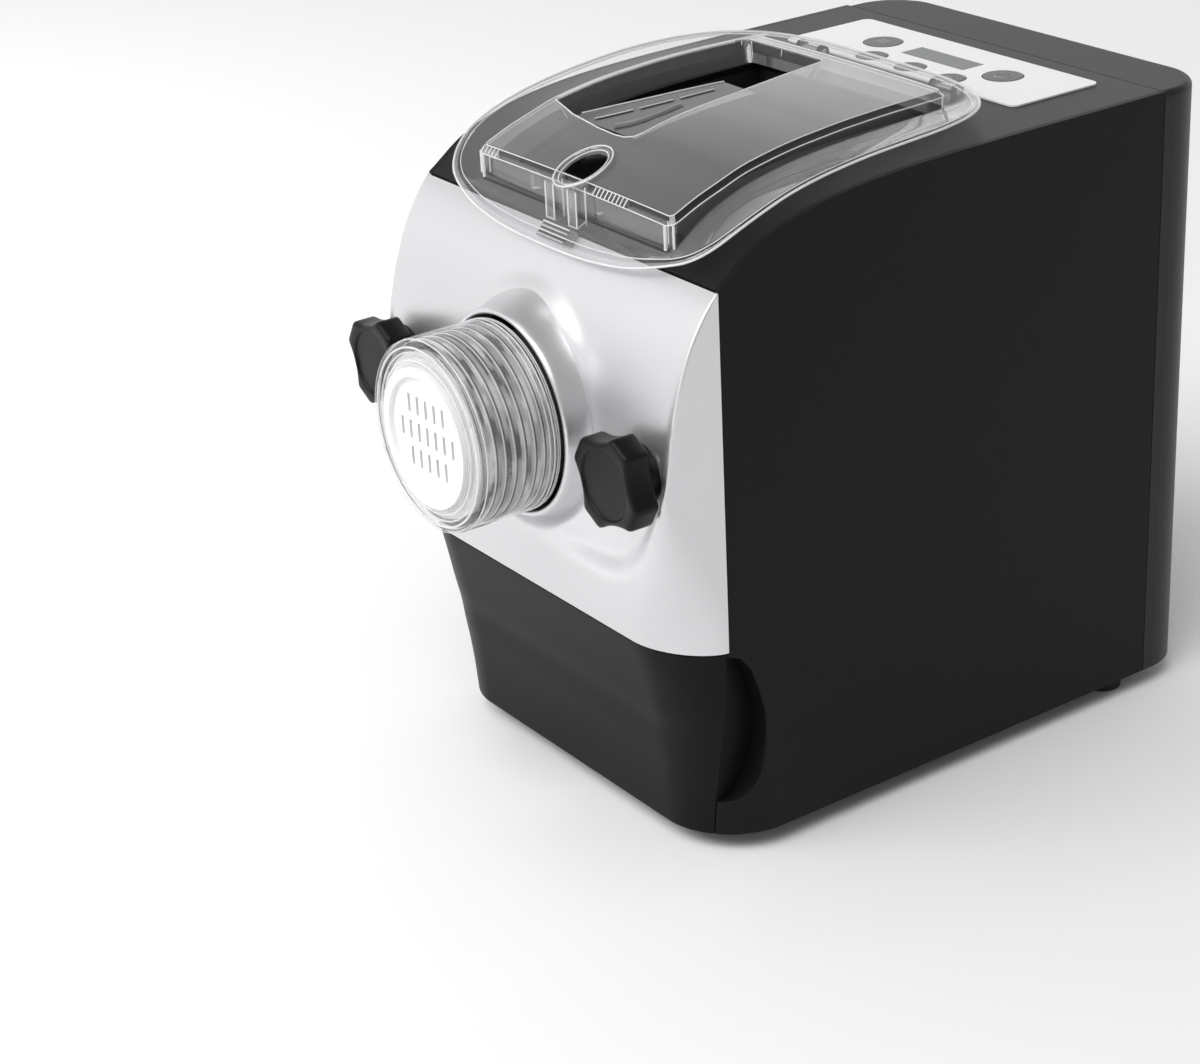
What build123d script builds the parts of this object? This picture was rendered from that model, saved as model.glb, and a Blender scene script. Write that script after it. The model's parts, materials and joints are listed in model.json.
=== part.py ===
from build123d import *
import math
import os

# Electric pasta maker: tabletop machine, front towards -Y, +Z up, all sizes in mm.
# Working frame while modelling: x = 0 is the centre plane, y = 0 the side panels' front edge, z = 0 the table.
# Everything is moved by -Y_SHIFT when written, which puts the origin at the bounding box's bottom centre.

# ---------------------------------------------------------------- driving dimensions
HALF_W = 105.0          # half the body width
BODY_BOTTOM = 9.2       # underside of the body above the table
FOOT_R = 10.5           # rubber foot radius
DRAWER_TOP = 101.2      # seam between drawer front and front plate
REAR_SEAM = 243.0       # seam between side panels and rear cover
REAR_Y = 275.0          # back face of the rear cover
INLET_PROUD = 1.0       # inlet bezel proud of the rear cover
WALL = 2.5              # moulded wall thickness
GAP = 0.4               # seam gap between neighbouring casings
Z_AX = 185.5            # height of the extruder axis
NUT_FRONT = -74.6       # front rim of the screw nut
NUT_REAR = -35.4        # rear face of the nut's flange
NUT_R = 42.0            # nut outer radius
NUT_FLANGE_R = 42.0
COLLAR_R = 45.0         # outer radius of the front plate's collar round the nut, at its front
COLLAR_BORE = 42.8
COLLAR_FRONT = -35.0
NUT_BORE = 37.2         # nut inner radius over the threaded barrel
DIE_FACE_R = 30.4
DIE_FRONT = -76.0
BARREL_R = 36.6         # outer radius of the barrel's threaded end
BARREL_BORE = 22.5      # bore around the screw
AUGER_R = 21.4
NUT_PITCH = 4.0         # lead of the nut's coarse thread
KNOB_X = 88.0
KNOB_R = 21.5           # radius over the knob's blunt corners
KNOB_FLUTE = 17.0       # radius at the bottom of the knob's flutes
KNOB_FRONT = -46.8
KNOB_REAR = -34.8
STUD_R = 4.0
CH_HALF = 57.0          # half the mixing chamber's inner width
CH_Y0, CH_Y1 = 16.0, 150.0
LID_HALF = 101.0        # half the lid flange's width
LID_BOX_HALF = 70.0     # half the raised box's width at its front
LID_BOX_Y0, LID_BOX_Y1 = 4.0, 155.0
LID_BOX_PLAN = [(69.8, LID_BOX_Y0), (68.6, 60.0), (67.2, 107.0), (64.8, LID_BOX_Y1)]     # right side of the box in plan
HINGE_Y, HINGE_Z = 171.5, 293.2
PANEL_HALF, PANEL_Y0, PANEL_Y1 = 77.0, 181.0, 232.0
DECK_Z = 289.1
M_OUT, T_OUT, T_IDP = 1.5, 50, 16      # output gear and idler pinion
M_IN, T_IDG, T_MOT = 1.0, 56, 16       # idler gear and motor pinion
Z_IDLER = Z_AX - M_OUT * (T_OUT + T_IDP) / 2
Z_MOTOR = Z_IDLER - M_IN * (T_IDG + T_MOT) / 2

Y_MIN, Y_MAX = DIE_FRONT, REAR_Y + INLET_PROUD
Y_SHIFT = (Y_MIN + Y_MAX) / 2

parts = {}


def box(x0, x1, y0, y1, z0, z1):
    return Pos((x0 + x1) / 2, (y0 + y1) / 2, (z0 + z1) / 2) * Box(abs(x1 - x0), abs(y1 - y0), abs(z1 - z0))


def ycyl(r, y0, y1, x=0.0, z=Z_AX):
    return Pos(x, (y0 + y1) / 2, z) * Rot(90, 0, 0) * Cylinder(r, abs(y1 - y0))


def zcyl(r, z0, z1, x, y):
    return Pos(x, y, (z0 + z1) / 2) * Cylinder(r, abs(z1 - z0))


def xcyl(r, x0, x1, y, z):
    return Pos((x0 + x1) / 2, y, z) * Rot(0, 90, 0) * Cylinder(r, abs(x1 - x0))


def ytube(ro, ri, y0, y1, x=0.0, z=Z_AX):
    return ycyl(ro, y0, y1, x, z) - ycyl(ri, y0 - 1, y1 + 1, x, z)


def yz_solid(edges_pts, x0, x1):
    """Extrude a closed outline in the YZ plane from x0 to x1. edges_pts: list of ('line'|'spline', [(y, z), ...]) chains."""
    edges = []
    for kind, pts in edges_pts:
        p3 = [(x0, *p) for i, p in enumerate(pts) if i == 0 or math.dist(p, pts[i - 1]) > 1e-6]
        edges.append(Spline(*p3) if kind == "spline" else Polyline(*p3))
    return extrude(make_face(edges), amount=x1 - x0, dir=(1, 0, 0))


def yz_poly(pts, x0, x1):
    p3 = [(x0, y, z) for y, z in pts]
    return extrude(make_face(Polyline(*p3, close=True)), amount=x1 - x0, dir=(1, 0, 0))


def xz_poly(pts, y0, y1):
    p3 = [(x, y0, z) for x, z in pts]
    return extrude(make_face(Polyline(*p3, close=True)), amount=y1 - y0, dir=(0, 1, 0))


def xy_poly(pts, z0, z1):
    p3 = [(x, y, z0) for x, y in pts]
    return extrude(make_face(Polyline(*p3, close=True)), amount=z1 - z0, dir=(0, 0, 1))


def xy_spline(pts, z0, z1):
    p3 = [(x, y, z0) for x, y in pts]
    return extrude(make_face(Spline(*p3, periodic=True)), amount=z1 - z0, dir=(0, 0, 1))


def lerp_table(table, z):
    for a, b in zip(table, table[1:]):
        if a[0] <= z <= b[0]:
            t = (z - a[0]) / (b[0] - a[0])
            return [p + t * (q - p) for p, q in zip(a[1:], b[1:])]
    return list(table[0][1:]) if z < table[0][0] else list(table[-1][1:])


# ---------------------------------------------------------------- body surface
# height, front y, crease x, corner control points 1 and 2 (x, y), y where the corner meets the flat side
FRONT = [
    (9.2, -9.5, 70.0, 89.0, -9.5, 105.0, 7.0, 26.0),
    (24.0, -10.2, 70.0, 89.0, -10.2, 105.0, 4.5, 22.0),
    (35.1, -11.1, 70.0, 88.7, -11.1, 105.0, 2.0, 18.0),
    (46.2, -12.5, 70.0, 88.4, -12.5, 105.0, -0.5, 14.0),
    (57.3, -13.8, 70.0, 88.1, -13.8, 105.0, -2.5, 11.0),
    (68.6, -16.3, 70.0, 87.8, -16.3, 105.0, -5.0, 7.5),
    (79.8, -18.7, 70.0, 87.5, -18.7, 105.0, -7.0, 5.0),
    (101.2, -23.9, 70.0, 87.0, -23.9, 105.0, -10.0, 1.5),
    (115.0, -26.9, 74.0, 90.0, -26.9, 105.0, -13.5, 0.5),
    (128.5, -29.5, 80.0, 94.5, -29.5, 105.0, -17.5, -4.0),
    (142.0, -31.0, 88.0, 99.5, -31.0, 105.0, -21.5, -10.5),
    (153.0, -31.8, 93.0, 101.8, -31.8, 105.0, -25.0, -16.5),
    (162.0, -32.1, 97.0, 103.2, -32.1, 105.0, -27.6, -21.0),
    (170.0, -32.0, 100.0, 104.2, -32.0, 105.0, -29.6, -25.5),
    (177.0, -31.3, 101.8, 104.6, -31.3, 105.0, -30.2, -27.6),
    (185.0, -29.7, 102.3, 104.7, -29.7, 105.0, -28.7, -26.6),
    (194.0, -28.0, 102.5, 104.8, -28.0, 105.0, -27.0, -25.0),
    (204.4, -26.0, 102.7, 104.8, -26.0, 105.0, -25.0, -23.2),
    (216.3, -23.0, 102.8, 104.8, -23.0, 105.0, -22.0, -20.2),
    (228.8, -18.8, 103.0, 104.8, -18.8, 105.0, -17.8, -16.0),
    (240.0, -14.0, 103.2, 104.9, -14.0, 105.0, -13.1, -11.4),
    (250.2, -7.8, 103.6, 104.9, -7.8, 105.0, -7.0, -5.4),
    (255.0, -4.2, 104.0, 104.95, -4.2, 105.0, -3.6, -2.2),
    (259.2, -0.4, 104.4, 104.97, -0.4, 105.0, 0.0, 1.2),
]
# floor of the scoop in the front plate: height, y at the middle; and its outline: height, half width
SCOOP = [(9.2, -200.0), (126.5, -200.0), (128.4, -29.7), (130.5, -28.2), (134.0, -26.9), (140.0, -26.0), (150.0, -25.6), (163.0, -26.0), (175.0, -26.6),
         (185.0, -26.9), (194.0, -26.0), (204.4, -24.5), (216.3, -21.9), (226.0, -19.2), (230.0, -17.7), (259.2, -0.3)]
SCOOP_EDGE = [(128.5, 62.0), (130.5, 70.0), (133.0, 74.0), (138.0, 80.5), (143.0, 85.0), (148.0, 89.0), (154.0, 92.6), (160.0, 95.3), (165.0, 97.2),
              (170.0, 99.0), (175.0, 100.6), (182.0, 101.2), (200.0, 101.6), (228.0, 101.9)]
# top line of the casing seen from the side: y, z
DECK = [(-0.4, 259.2), (2.5, 261.2), (5.8, 263.6), (11.5, 267.8), (19.4, 272.7), (28.2, 276.6), (45.0, 281.8),
        (64.1, 285.2), (85.6, 287.3), (109.8, 288.4), (136.7, 288.9), (164.0, DECK_Z), (204.0, DECK_Z), (REAR_SEAM, DECK_Z)]


def deck_z(y):
    if y <= DECK[0][0]:
        return DECK[0][1]
    for a, b in zip(DECK, DECK[1:]):
        if a[0] <= y <= b[0]:
            return a[1] + (b[1] - a[1]) * (y - a[0]) / (b[0] - a[0])
    return DECK[-1][1]


def offset_line(pts, d):
    """Offset a (y, z) line to its left by d."""
    out = []
    for i, (y, z) in enumerate(pts):
        a = pts[max(i - 1, 0)]
        b = pts[min(i + 1, len(pts) - 1)]
        ty, tz = b[0] - a[0], b[1] - a[1]
        n = math.hypot(ty, tz)
        out.append((y - tz / n * d, z + ty / n * d))
    return out


def dense(pts, step):
    out = [pts[0]]
    for a, b in zip(pts, pts[1:]):
        n = max(1, int(math.hypot(b[0] - a[0], b[1] - a[1]) / step))
        out += [(a[0] + (b[0] - a[0]) * i / n, a[1] + (b[1] - a[1]) * i / n) for i in range(1, n + 1)]
    return out


def section(row, t, y_back):
    z, f, xc, p1x, p1y, p2x, p2y, y3 = row
    f += t
    if t > 0:
        f = max(f, lerp_table(SCOOP, z)[0] + t)
        p1y = max(p1y, f - 0.75 * t)
        p2y, y3 = max(p2y, f + 0.4), max(y3, f + 3.0)
    xc -= 0.7 * t
    p1x, p1y = p1x - 0.7 * t, max(p1y + 0.75 * t, f)
    p2x, p2y = p2x - t, max(p2y + 0.5 * t, f + 0.1)
    y3 = max(y3 + 0.3 * t, p2y + 0.5)
    x3 = HALF_W - t
    xc, p1x, p2x = min(xc, x3), min(p1x, x3), min(p2x, x3)
    edges = [
        Line((-xc, f, z), (xc, f, z)),
        Bezier((xc, f, z), (p1x, p1y, z), (p2x, p2y, z), (x3, y3, z)),
        Line((x3, y3, z), (x3, y_back, z)),
        Line((x3, y_back, z), (-x3, y_back, z)),
        Line((-x3, y_back, z), (-x3, y3, z)),
        Bezier((-x3, y3, z), (-p2x, p2y, z), (-p1x, p1y, z), (-xc, f, z)),
    ]
    return make_face(edges)


def body_loft(t, z0, z1, y_back):
    """Casing volume between z0 and z1, pulled in by t from the outer surface."""
    rows = [r for r in FRONT if z0 + 0.2 < r[0] < z1 - 0.2]
    rows = [(z0, *lerp_table(FRONT, z0))] + rows + [(z1, *lerp_table(FRONT, z1))]
    return loft([section(r, t, y_back) for r in rows], ruled=True)


def top_solid(t, x_half, y_back, z_low):
    """Casing volume above z_low under the deck line, pulled in by t."""
    line = [(p[0], min(p[1], DECK_Z - t)) for p in offset_line(DECK, -t) if p[0] < 150] + [(164.0, DECK_Z - t)]
    rest = [line[-1], (y_back, DECK_Z - t), (y_back, z_low), (line[0][0], z_low), line[0]]
    return yz_solid([("spline", line), ("line", rest)], -x_half, x_half) & box(-110, 110, -60, 300, 0, DECK_Z - t)


Z_SPLIT = 259.2
low_outer = body_loft(0, BODY_BOTTOM, DRAWER_TOP - 0.2, REAR_SEAM)
up_outer = body_loft(0, DRAWER_TOP - 0.2, Z_SPLIT, REAR_SEAM)
low_inner = body_loft(WALL, BODY_BOTTOM, DRAWER_TOP - 0.2, REAR_SEAM + 5)
up_inner = body_loft(WALL, DRAWER_TOP - 0.2, Z_SPLIT, REAR_SEAM + 5)
top_outer = top_solid(0, HALF_W, REAR_SEAM, Z_SPLIT)
top_inner = top_solid(WALL, HALF_W - WALL, REAR_SEAM + 5, Z_SPLIT - 8)

# ---------------------------------------------------------------- front plate (silver fascia)
fp_zone = box(-HALF_W, HALF_W, -60, -GAP / 2, DRAWER_TOP + GAP / 2, 258.8)
front_plate = (up_outer & fp_zone) - (up_inner & box(-HALF_W, HALF_W, -60, 60, DRAWER_TOP - 1, 256.8))
dish = Pos(0, -26.0, Z_AX) * Rot(90, 0, 0) * Cone(42.5, 52.5, 9.0)
dish_back = Pos(0, -26.0 + 2.6, Z_AX) * Rot(90, 0, 0) * Cone(44.5, 54.5, 9.0)
front_plate = front_plate + ((dish_back & box(-60, 60, -30, -10, 100, 250)) & up_outer) - dish
front_plate = front_plate - ycyl(33.6, -60, 10)
for s in (-1, 1):
    boss = ycyl(9.0, -24.5, -8.0, s * KNOB_X, Z_AX)
    front_plate = front_plate + boss - ycyl(STUD_R + 0.06, -60, 10, s * KNOB_X, Z_AX)
    front_plate = front_plate - ycyl(15.0, -60, -26.3, s * KNOB_X, Z_AX)
floor = [(y, z) for z, y in SCOOP if 128 < z < 229]
edge = [(x, z) for z, x in SCOOP_EDGE]
scoop_cut = yz_solid([("spline", floor), ("line", [floor[-1], (-70, floor[-1][1]), (-70, floor[0][1]), floor[0]])], -110, 110)
scoop_cut = scoop_cut & xz_poly(edge + [(-x, z) for x, z in reversed(edge)], -80, 0)
front_plate = front_plate - scoop_cut
# raised collar that surrounds the rear end of the nut
collar = Pos(0, (COLLAR_FRONT - 20.2) / 2, Z_AX) * Rot(90, 0, 0) * Cone(COLLAR_R + 4.6, COLLAR_R, -20.2 - COLLAR_FRONT)
front_plate = front_plate + (collar - ycyl(COLLAR_BORE, -60, -21.6))
front_plate = front_plate - ycyl(33.6, -60, 10)
parts["front_plate"] = front_plate

# ---------------------------------------------------------------- drawer
df_zone = box(-HALF_W, HALF_W, -60, -1.3 - GAP / 2, BODY_BOTTOM, DRAWER_TOP - GAP / 2 - 0.2)
drawer_front = (low_outer & df_zone) - (low_inner & box(-HALF_W, HALF_W, -60, 60, BODY_BOTTOM + WALL, DRAWER_TOP - GAP - WALL))
for s in (-1, 1):
    drawer_front = drawer_front + (low_inner & box(s * 46, s * 49, -40, -6.0, 14.0, 96.0))
    drawer_front = drawer_front + (low_inner & box(s * 76, s * 78.5, -40, -6.0, 14.0, 96.0))
parts["drawer_front"] = drawer_front
DR_X, DR_Y0, DR_Y1, DR_Z0, DR_Z1 = 80.0, -6.0, 142.0, 13.6, 94.0
tray = box(-DR_X, DR_X, DR_Y0, DR_Y1, DR_Z0, DR_Z1) - box(-DR_X + 2, DR_X - 2, DR_Y0 + 2, DR_Y1 - 2, DR_Z0 + 2, DR_Z1 + 5)
parts["drawer_tray"] = tray & body_loft(WALL + 0.05, BODY_BOTTOM, DRAWER_TOP - 0.2, REAR_SEAM)

# ---------------------------------------------------------------- side panels with finger grips
GRIP = [(-6, 99.5), (1.0, 99.0), (6.0, 96.5), (11.2, 89.5), (15.0, 79.0), (17.6, 69.5), (18.4, 61.0), (17.9, 51.5), (16.2, 43.0),
        (12.8, 35.3), (9.0, 30.0), (3.9, 27.0), (-1.4, 26.0), (-6, 26.0)]
GRIP_OUT = [(-6, 102.0), (2.0, 101.5), (8.0, 98.5), (13.6, 90.5), (17.4, 80.0), (20.1, 70.0), (20.9, 61.0), (20.3, 51.0), (18.5, 42.0),
            (15.0, 33.5), (10.5, 28.0), (4.9, 24.6), (-1.4, 23.4), (-6, 23.4)]
GRIP_FLOOR = 94.0        # distance of the pocket's floor from the centre plane
for side, s in (("right", 1), ("left", -1)):
    zone_low = box(s * 60, s * (HALF_W + 1), -1.3 + GAP / 2, REAR_SEAM - GAP / 2, BODY_BOTTOM, DRAWER_TOP - 0.2)
    zone_up = box(s * 60, s * (HALF_W + 1), GAP / 2, REAR_SEAM - GAP / 2, DRAWER_TOP - 0.2, Z_SPLIT)
    zone_top = box(s * (HALF_W - WALL), s * (HALF_W + 1), GAP / 2, REAR_SEAM - GAP / 2, Z_SPLIT, 300)
    low = (low_outer - low_inner) & zone_low
    x_in, x_out = (70, 110) if s > 0 else (-110, -70)
    cut = yz_poly(GRIP, x_in, x_out)
    wall = yz_poly(GRIP_OUT, x_in, x_out) & zone_low
    deep = box(s * GRIP_FLOOR, s * (HALF_W + 1), -10, 30, 20, 105)
    low = low - cut + (low_outer & (wall - cut) & deep) + (low_outer & wall & box(s * (GRIP_FLOOR - 2), s * GRIP_FLOOR, -10, 30, 20, 105))
    panel = low + ((up_outer - up_inner) & zone_up) + (top_outer & zone_top)
    parts[side + "_side_panel"] = panel

# ---------------------------------------------------------------- top deck
deck = (top_outer - top_inner) & box(-HALF_W + WALL + 0.15, HALF_W - WALL - 0.15, GAP, REAR_SEAM - GAP / 2, Z_SPLIT - 6, 300)
deck = deck - box(-CH_HALF, CH_HALF, CH_Y0, CH_Y1, 200, 320)
BTN = {"power_button": (40.0, 209.5, 9.0), "program_button": (-40.0, 209.5, 9.0), "minus_button": (-26.0, 190.8, 7.2),
       "start_button": (0.0, 190.8, 7.2), "plus_button": (26.0, 190.8, 7.2)}
for bx, by, br in BTN.values():
    deck = deck - zcyl(br + 0.4, 270, 300, bx, by)
deck = deck - box(-21.0, 21.0, 203.0, 216.5, 270, 300)
SW_X, SW_Y = 78.0, 120.0
deck = deck - zcyl(2.4, 270, 300, SW_X, SW_Y)
for s in (-1, 1):
    for e in (-1, 1):
        deck = deck - box(s * 45 + e * 6.0 - 0.0, s * 45 + e * 8.4, HINGE_Y - 3.0, HINGE_Y + 3.0, 280, 292)
for s in (-1, 1):
    for py in (186.5, 227.0):
        deck = deck + zcyl(3.0, 281.65, DECK_Z - 1.0, s * 68.0, py)
deck = deck + box(SW_X - 6, SW_X - 4, SW_Y - 10, SW_Y + 10, 274.05, 287.5) + box(SW_X + 4, SW_X + 6, SW_Y - 10, SW_Y + 10, 274.05, 287.5)
parts["top_deck"] = deck

# ---------------------------------------------------------------- rear cover
RC_R = 26.0
rc = box(-HALF_W, HALF_W, REAR_SEAM + GAP / 2, REAR_Y, BODY_BOTTOM, DECK_Z)
rc = fillet([e for e in rc.edges().filter_by(Axis.Z) if e.center().Y > REAR_Y - 1], RC_R)
rc = fillet([e for e in rc.edges() if e.center().Z > DECK_Z - 0.1 and e.center().Y > REAR_SEAM + 1], 3.0)
rci = box(-HALF_W + WALL, HALF_W - WALL, REAR_SEAM - 5, REAR_Y - WALL, BODY_BOTTOM + WALL, DECK_Z - WALL)
rci = fillet([e for e in rci.edges().filter_by(Axis.Z) if e.center().Y > REAR_Y - WALL - 1], RC_R - WALL)
rc = rc - rci
for i in range(9):
    z = 150.0 + i * 9.0
    rc = rc - (box(-48, 48, REAR_Y - 10, REAR_Y + 2, z, z + 4.2))
INX, INZ = 58.0, 44.0
rc = rc - box(INX - 15.2, INX + 15.2, REAR_Y - 10, REAR_Y + 5, INZ - 11.7, INZ + 11.7)
parts["rear_cover"] = rc

# appliance inlet
inlet = box(INX - 15, INX + 15, REAR_Y - 26, REAR_Y + 0.0, INZ - 11.5, INZ + 11.5)
inlet = inlet + box(INX - 18, INX + 18, REAR_Y + 0.02, REAR_Y + INLET_PROUD, INZ - 14.5, INZ + 14.5) + box(INX - 15, INX + 15, REAR_Y - 1, REAR_Y + INLET_PROUD, INZ - 11.5, INZ + 11.5)
sock = xz_poly([(INX - 12.2, INZ - 8.2), (INX + 12.2, INZ - 8.2), (INX + 12.2, INZ + 3.2), (INX + 7.5, INZ + 8.2), (INX - 7.5, INZ + 8.2), (INX - 12.2, INZ + 3.2)], REAR_Y - 16, REAR_Y + 4)
inlet = inlet - sock
parts["power_inlet"] = inlet
pins = box(INX - 1, INX + 1, REAR_Y - 16, REAR_Y - 2.0, INZ + 1.0, INZ + 5.0)
for s in (-1, 1):
    pins = pins + box(INX + s * 7 - 1, INX + s * 7 + 1, REAR_Y - 16, REAR_Y - 3.0, INZ - 4.5, INZ - 0.5)
parts["inlet_pins"] = pins

# ---------------------------------------------------------------- base and feet
base_pts = [(-78, 1.5), (78, 1.5), (92, 12.0), (102.4, 30.0), (102.4, 242.9), (-102.4, 242.9), (-102.4, 30.0), (-92, 12.0)]
base = xy_poly(base_pts, BODY_BOTTOM + 0.0, BODY_BOTTOM + WALL)
base = base - box(-110, 110, REAR_SEAM - 0.1, 300, 5, 20)
FEET = [(-72.0, 36.0), (72.0, 36.0), (-88.5, 232.0), (88.5, 232.0)]
foot_screws = None
for fx, fy in FEET:
    base = base - zcyl(2.6, 5, 20, fx, fy)
    sc = zcyl(4.6, 4.2, 6.6, fx, fy) + zcyl(2.4, 4.2, BODY_BOTTOM + 3.6, fx, fy)
    foot_screws = sc if foot_screws is None else foot_screws + sc
feet_fixed = None
for fx, fy in FEET:
    f = Pos(fx, fy, BODY_BOTTOM / 2) * Cone(FOOT_R - 1.0, FOOT_R, BODY_BOTTOM)
    f = f - zcyl(5.0, -1, 6.7, fx, fy) - zcyl(2.6, 0, 12, fx, fy)
    feet_fixed = f if feet_fixed is None else feet_fixed + f
parts["rubber_feet"] = feet_fixed
parts["base_tray"] = base

# ---------------------------------------------------------------- drawer bay and runners
roof = box(-102.4, 102.4, 2.0, 152.0, 99.4, 101.8) + box(-102.4, 102.4, 150.0, 152.0, BODY_BOTTOM + WALL + 0.05, 99.4)
roof = roof - box(-110, -90.0, -10, 24, 0, 120) - box(90.0, 110, -10, 24, 0, 120)
parts["drawer_bay_liner"] = roof
runners = None
for s in (-1, 1):
    r = box(s * 80.4, s * 83.4, 6.0, 148.0, BODY_BOTTOM + WALL + 0.05, 34.0) + box(s * 79.0, s * 83.4, 6.0, 148.0, BODY_BOTTOM + WALL + 0.05, 13.2)
    runners = r if runners is None else runners + r
parts["drawer_runners"] = runners

# ---------------------------------------------------------------- front frame with threaded inserts
frame = box(-99.0, 99.0, 3.2, 7.2, DRAWER_TOP + 0.65, 250.0)
frame = frame - ycyl(33.6, 0, 20)
for s in (-1, 1):
    frame = frame + ycyl(11.0, 3.2, 18.0, s * KNOB_X, Z_AX) - ycyl(7.0, 0, 30, s * KNOB_X, Z_AX)
FS = [(-40.0, 118.0), (40.0, 118.0), (-52.0, 243.0), (52.0, 243.0)]
for x, z in FS:
    frame = frame - ycyl(2.1, 0, 30, x, z)
frame_top = (top_inner + up_inner) & box(-99, 99, 3.2, 30, DRAWER_TOP + 0.6, 258)
parts["front_frame"] = frame & frame_top
ins = None
for s in (-1, 1):
    i = ytube(7.0, STUD_R + 0.06, 3.2, 18.0, s * KNOB_X, Z_AX)
    ins = i if ins is None else ins + i
parts["knob_inserts"] = ins

# ---------------------------------------------------------------- mixing chamber
def trough(half, y0, y1):
    return (ycyl(half, y0, y1) + box(-half, half, y0, y1, Z_AX, 300))


chamber = trough(CH_HALF + WALL, CH_Y0 - WALL, CH_Y1 + WALL) - trough(CH_HALF, CH_Y0, CH_Y1)
under = top_solid(WALL + 0.3, 90, REAR_SEAM, 100)
chamber = chamber & under
chamber = chamber - ycyl(30.0, CH_Y0 - 5, CH_Y0 + 2) - ycyl(11.0, CH_Y1 - 1, CH_Y1 + 5)
chamber = chamber + ytube(14.0, 11.0, CH_Y1 + WALL, CH_Y1 + 8.0)
for x, z in FS:
    chamber = chamber - ycyl(2.1, 10, 15.9, x, z)
for s in (-1, 1):
    chamber = chamber + (box(s * 36, s * 39, 26.0, 140.0, DRAWER_TOP + 0.65, 160.0) - ycyl(CH_HALF + 1.0, 0, 200))
parts["mixing_chamber"] = chamber
parts["chamber_rear_seal"] = ytube(10.95, 6.06, CH_Y1 - 0.5, CH_Y1 + 7.5)

# ---------------------------------------------------------------- extruder barrel, die and nut
barrel = ycyl(44.0, 7.4, 12.6) + ycyl(33.0, -36.0, 7.4) + ycyl(BARREL_R, -66.6, -36.0)
barrel = barrel - ycyl(BARREL_BORE, -70, 20)
barrel = barrel - ycyl(28.0, 9.0, 20)
parts["extruder_barrel"] = barrel
parts["barrel_gasket"] = ytube(42.0, 31.0, 12.65, 13.45)

die = ycyl(36.0, -71.2, -67.0) + ycyl(DIE_FACE_R, DIE_FRONT, -71.2)
die = die - ycyl(26.6, DIE_FRONT - 1, -73.6)
for row, n in ((-12.0, 5), (0.0, 7), (12.0, 5)):
    for i in range(n):
        cx = (i - (n - 1) / 2) * 6.4
        die = die - box(cx - 1.0, cx + 1.0, -80, -60, Z_AX + row - 4.2, Z_AX + row + 4.2)
parts["die_plate"] = die

nut = ycyl(NUT_R, NUT_FRONT, NUT_REAR - 3.0) + ycyl(NUT_FLANGE_R, NUT_REAR - 3.0, NUT_REAR)
nut = nut - ycyl(NUT_BORE, -71.5, 0) - ycyl(DIE_FACE_R + 0.4, -80, 0)
for i in range(6):
    yy = -64.0 + i * NUT_PITCH
    nut = nut - ytube(NUT_BORE + 1.3, NUT_BORE - 1, yy, yy + 2.0)
parts["die_nut"] = nut


# ---------------------------------------------------------------- knobs
def lobed(radius, flute, cx, cz, y0, y1):
    pts = []
    for k in range(4):
        c = 60 + 90 * k
        for a, r in ((-15, radius), (15, radius), (25, radius * 0.868), (35, flute + 0.25), (45, flute), (55, flute + 0.25), (65, radius * 0.868)):
            ang = math.radians(c + a)
            pts.append((cx + r * math.cos(ang), cz + r * math.sin(ang)))
    return xz_poly(pts, y0, y1)


for side, s in (("right", 1), ("left", -1)):
    cx = s * KNOB_X
    k = lobed(KNOB_R, KNOB_FLUTE, cx, Z_AX + 0.9, KNOB_FRONT, KNOB_REAR)
    k = k - ycyl(15.0, KNOB_FRONT - 1, KNOB_FRONT + 0.9, cx, Z_AX + 0.9)
    k = k + ycyl(13.5, KNOB_REAR, -28.6, cx, Z_AX)
    k = k - ycyl(STUD_R, KNOB_FRONT + 4.0, 0, cx, Z_AX)
    parts[side + "_knob"] = k
    parts[side + "_knob_stud"] = ycyl(STUD_R - 0.005, KNOB_FRONT + 4.05, 17.5, cx, Z_AX)
    parts[side + "_knob_washer"] = ytube(10.0, STUD_R + 0.06, -28.4, -26.5, cx, Z_AX)

# ---------------------------------------------------------------- lid
FL_LOW, FL_HIGH, RIM_HIGH = 1.6, 4.0, 7.4      # lid flange underside, top, and raised rim above the deck line
LID_LINE = [(-20.0, 233.0), (-14.1, 241.0), (-7.8, 251.0)] + DECK
LID_HALF_PLAN = [(0, -10.8), (30, -10.3), (55, -8.2), (71, -5.0), (82, -1.0), (89.5, 4.5), (94, 11.5), (96.3, 21), (97, 34), (97, 50), (97.3, 80),
                 (97.6, 106.0), (95.6, 128.0), (90.0, 146.0), (80.5, 158.5), (66, 167.5), (46, 172.6), (0, 174.5)]
RIM_STEP = [(-40.0, -1.3), (-12.0, -1.3), (30.0, -0.7), (70.0, 0.2), (110.0, 1.2), (135.0, 1.5), (260.0, 1.5)]     # rim height over RIM_HIGH along y


def plan(inset):
    pts = []
    src = LID_HALF_PLAN
    for i, (x, y) in enumerate(src):
        a, b = src[max(i - 1, 0)], src[min(i + 1, len(src) - 1)]
        tx, ty = b[0] - a[0], b[1] - a[1]
        n = math.hypot(tx, ty)
        if i in (0, len(src) - 1):
            tx, ty, n = (1 if i == 0 else -1), 0, 1
        pts.append((x - ty / n * inset, y + tx / n * inset))
    return pts + [(-x, y) for x, y in reversed(pts[1:-1])]


def band(lo, hi, x_half):
    """Volume between two offsets of the lid line."""
    a, b = offset_line(LID_LINE, lo), offset_line(LID_LINE, hi)
    return yz_solid([("spline", a), ("line", [a[-1], b[-1]]), ("spline", list(reversed(b))), ("line", [b[0], a[0]])], -x_half, x_half)


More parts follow.
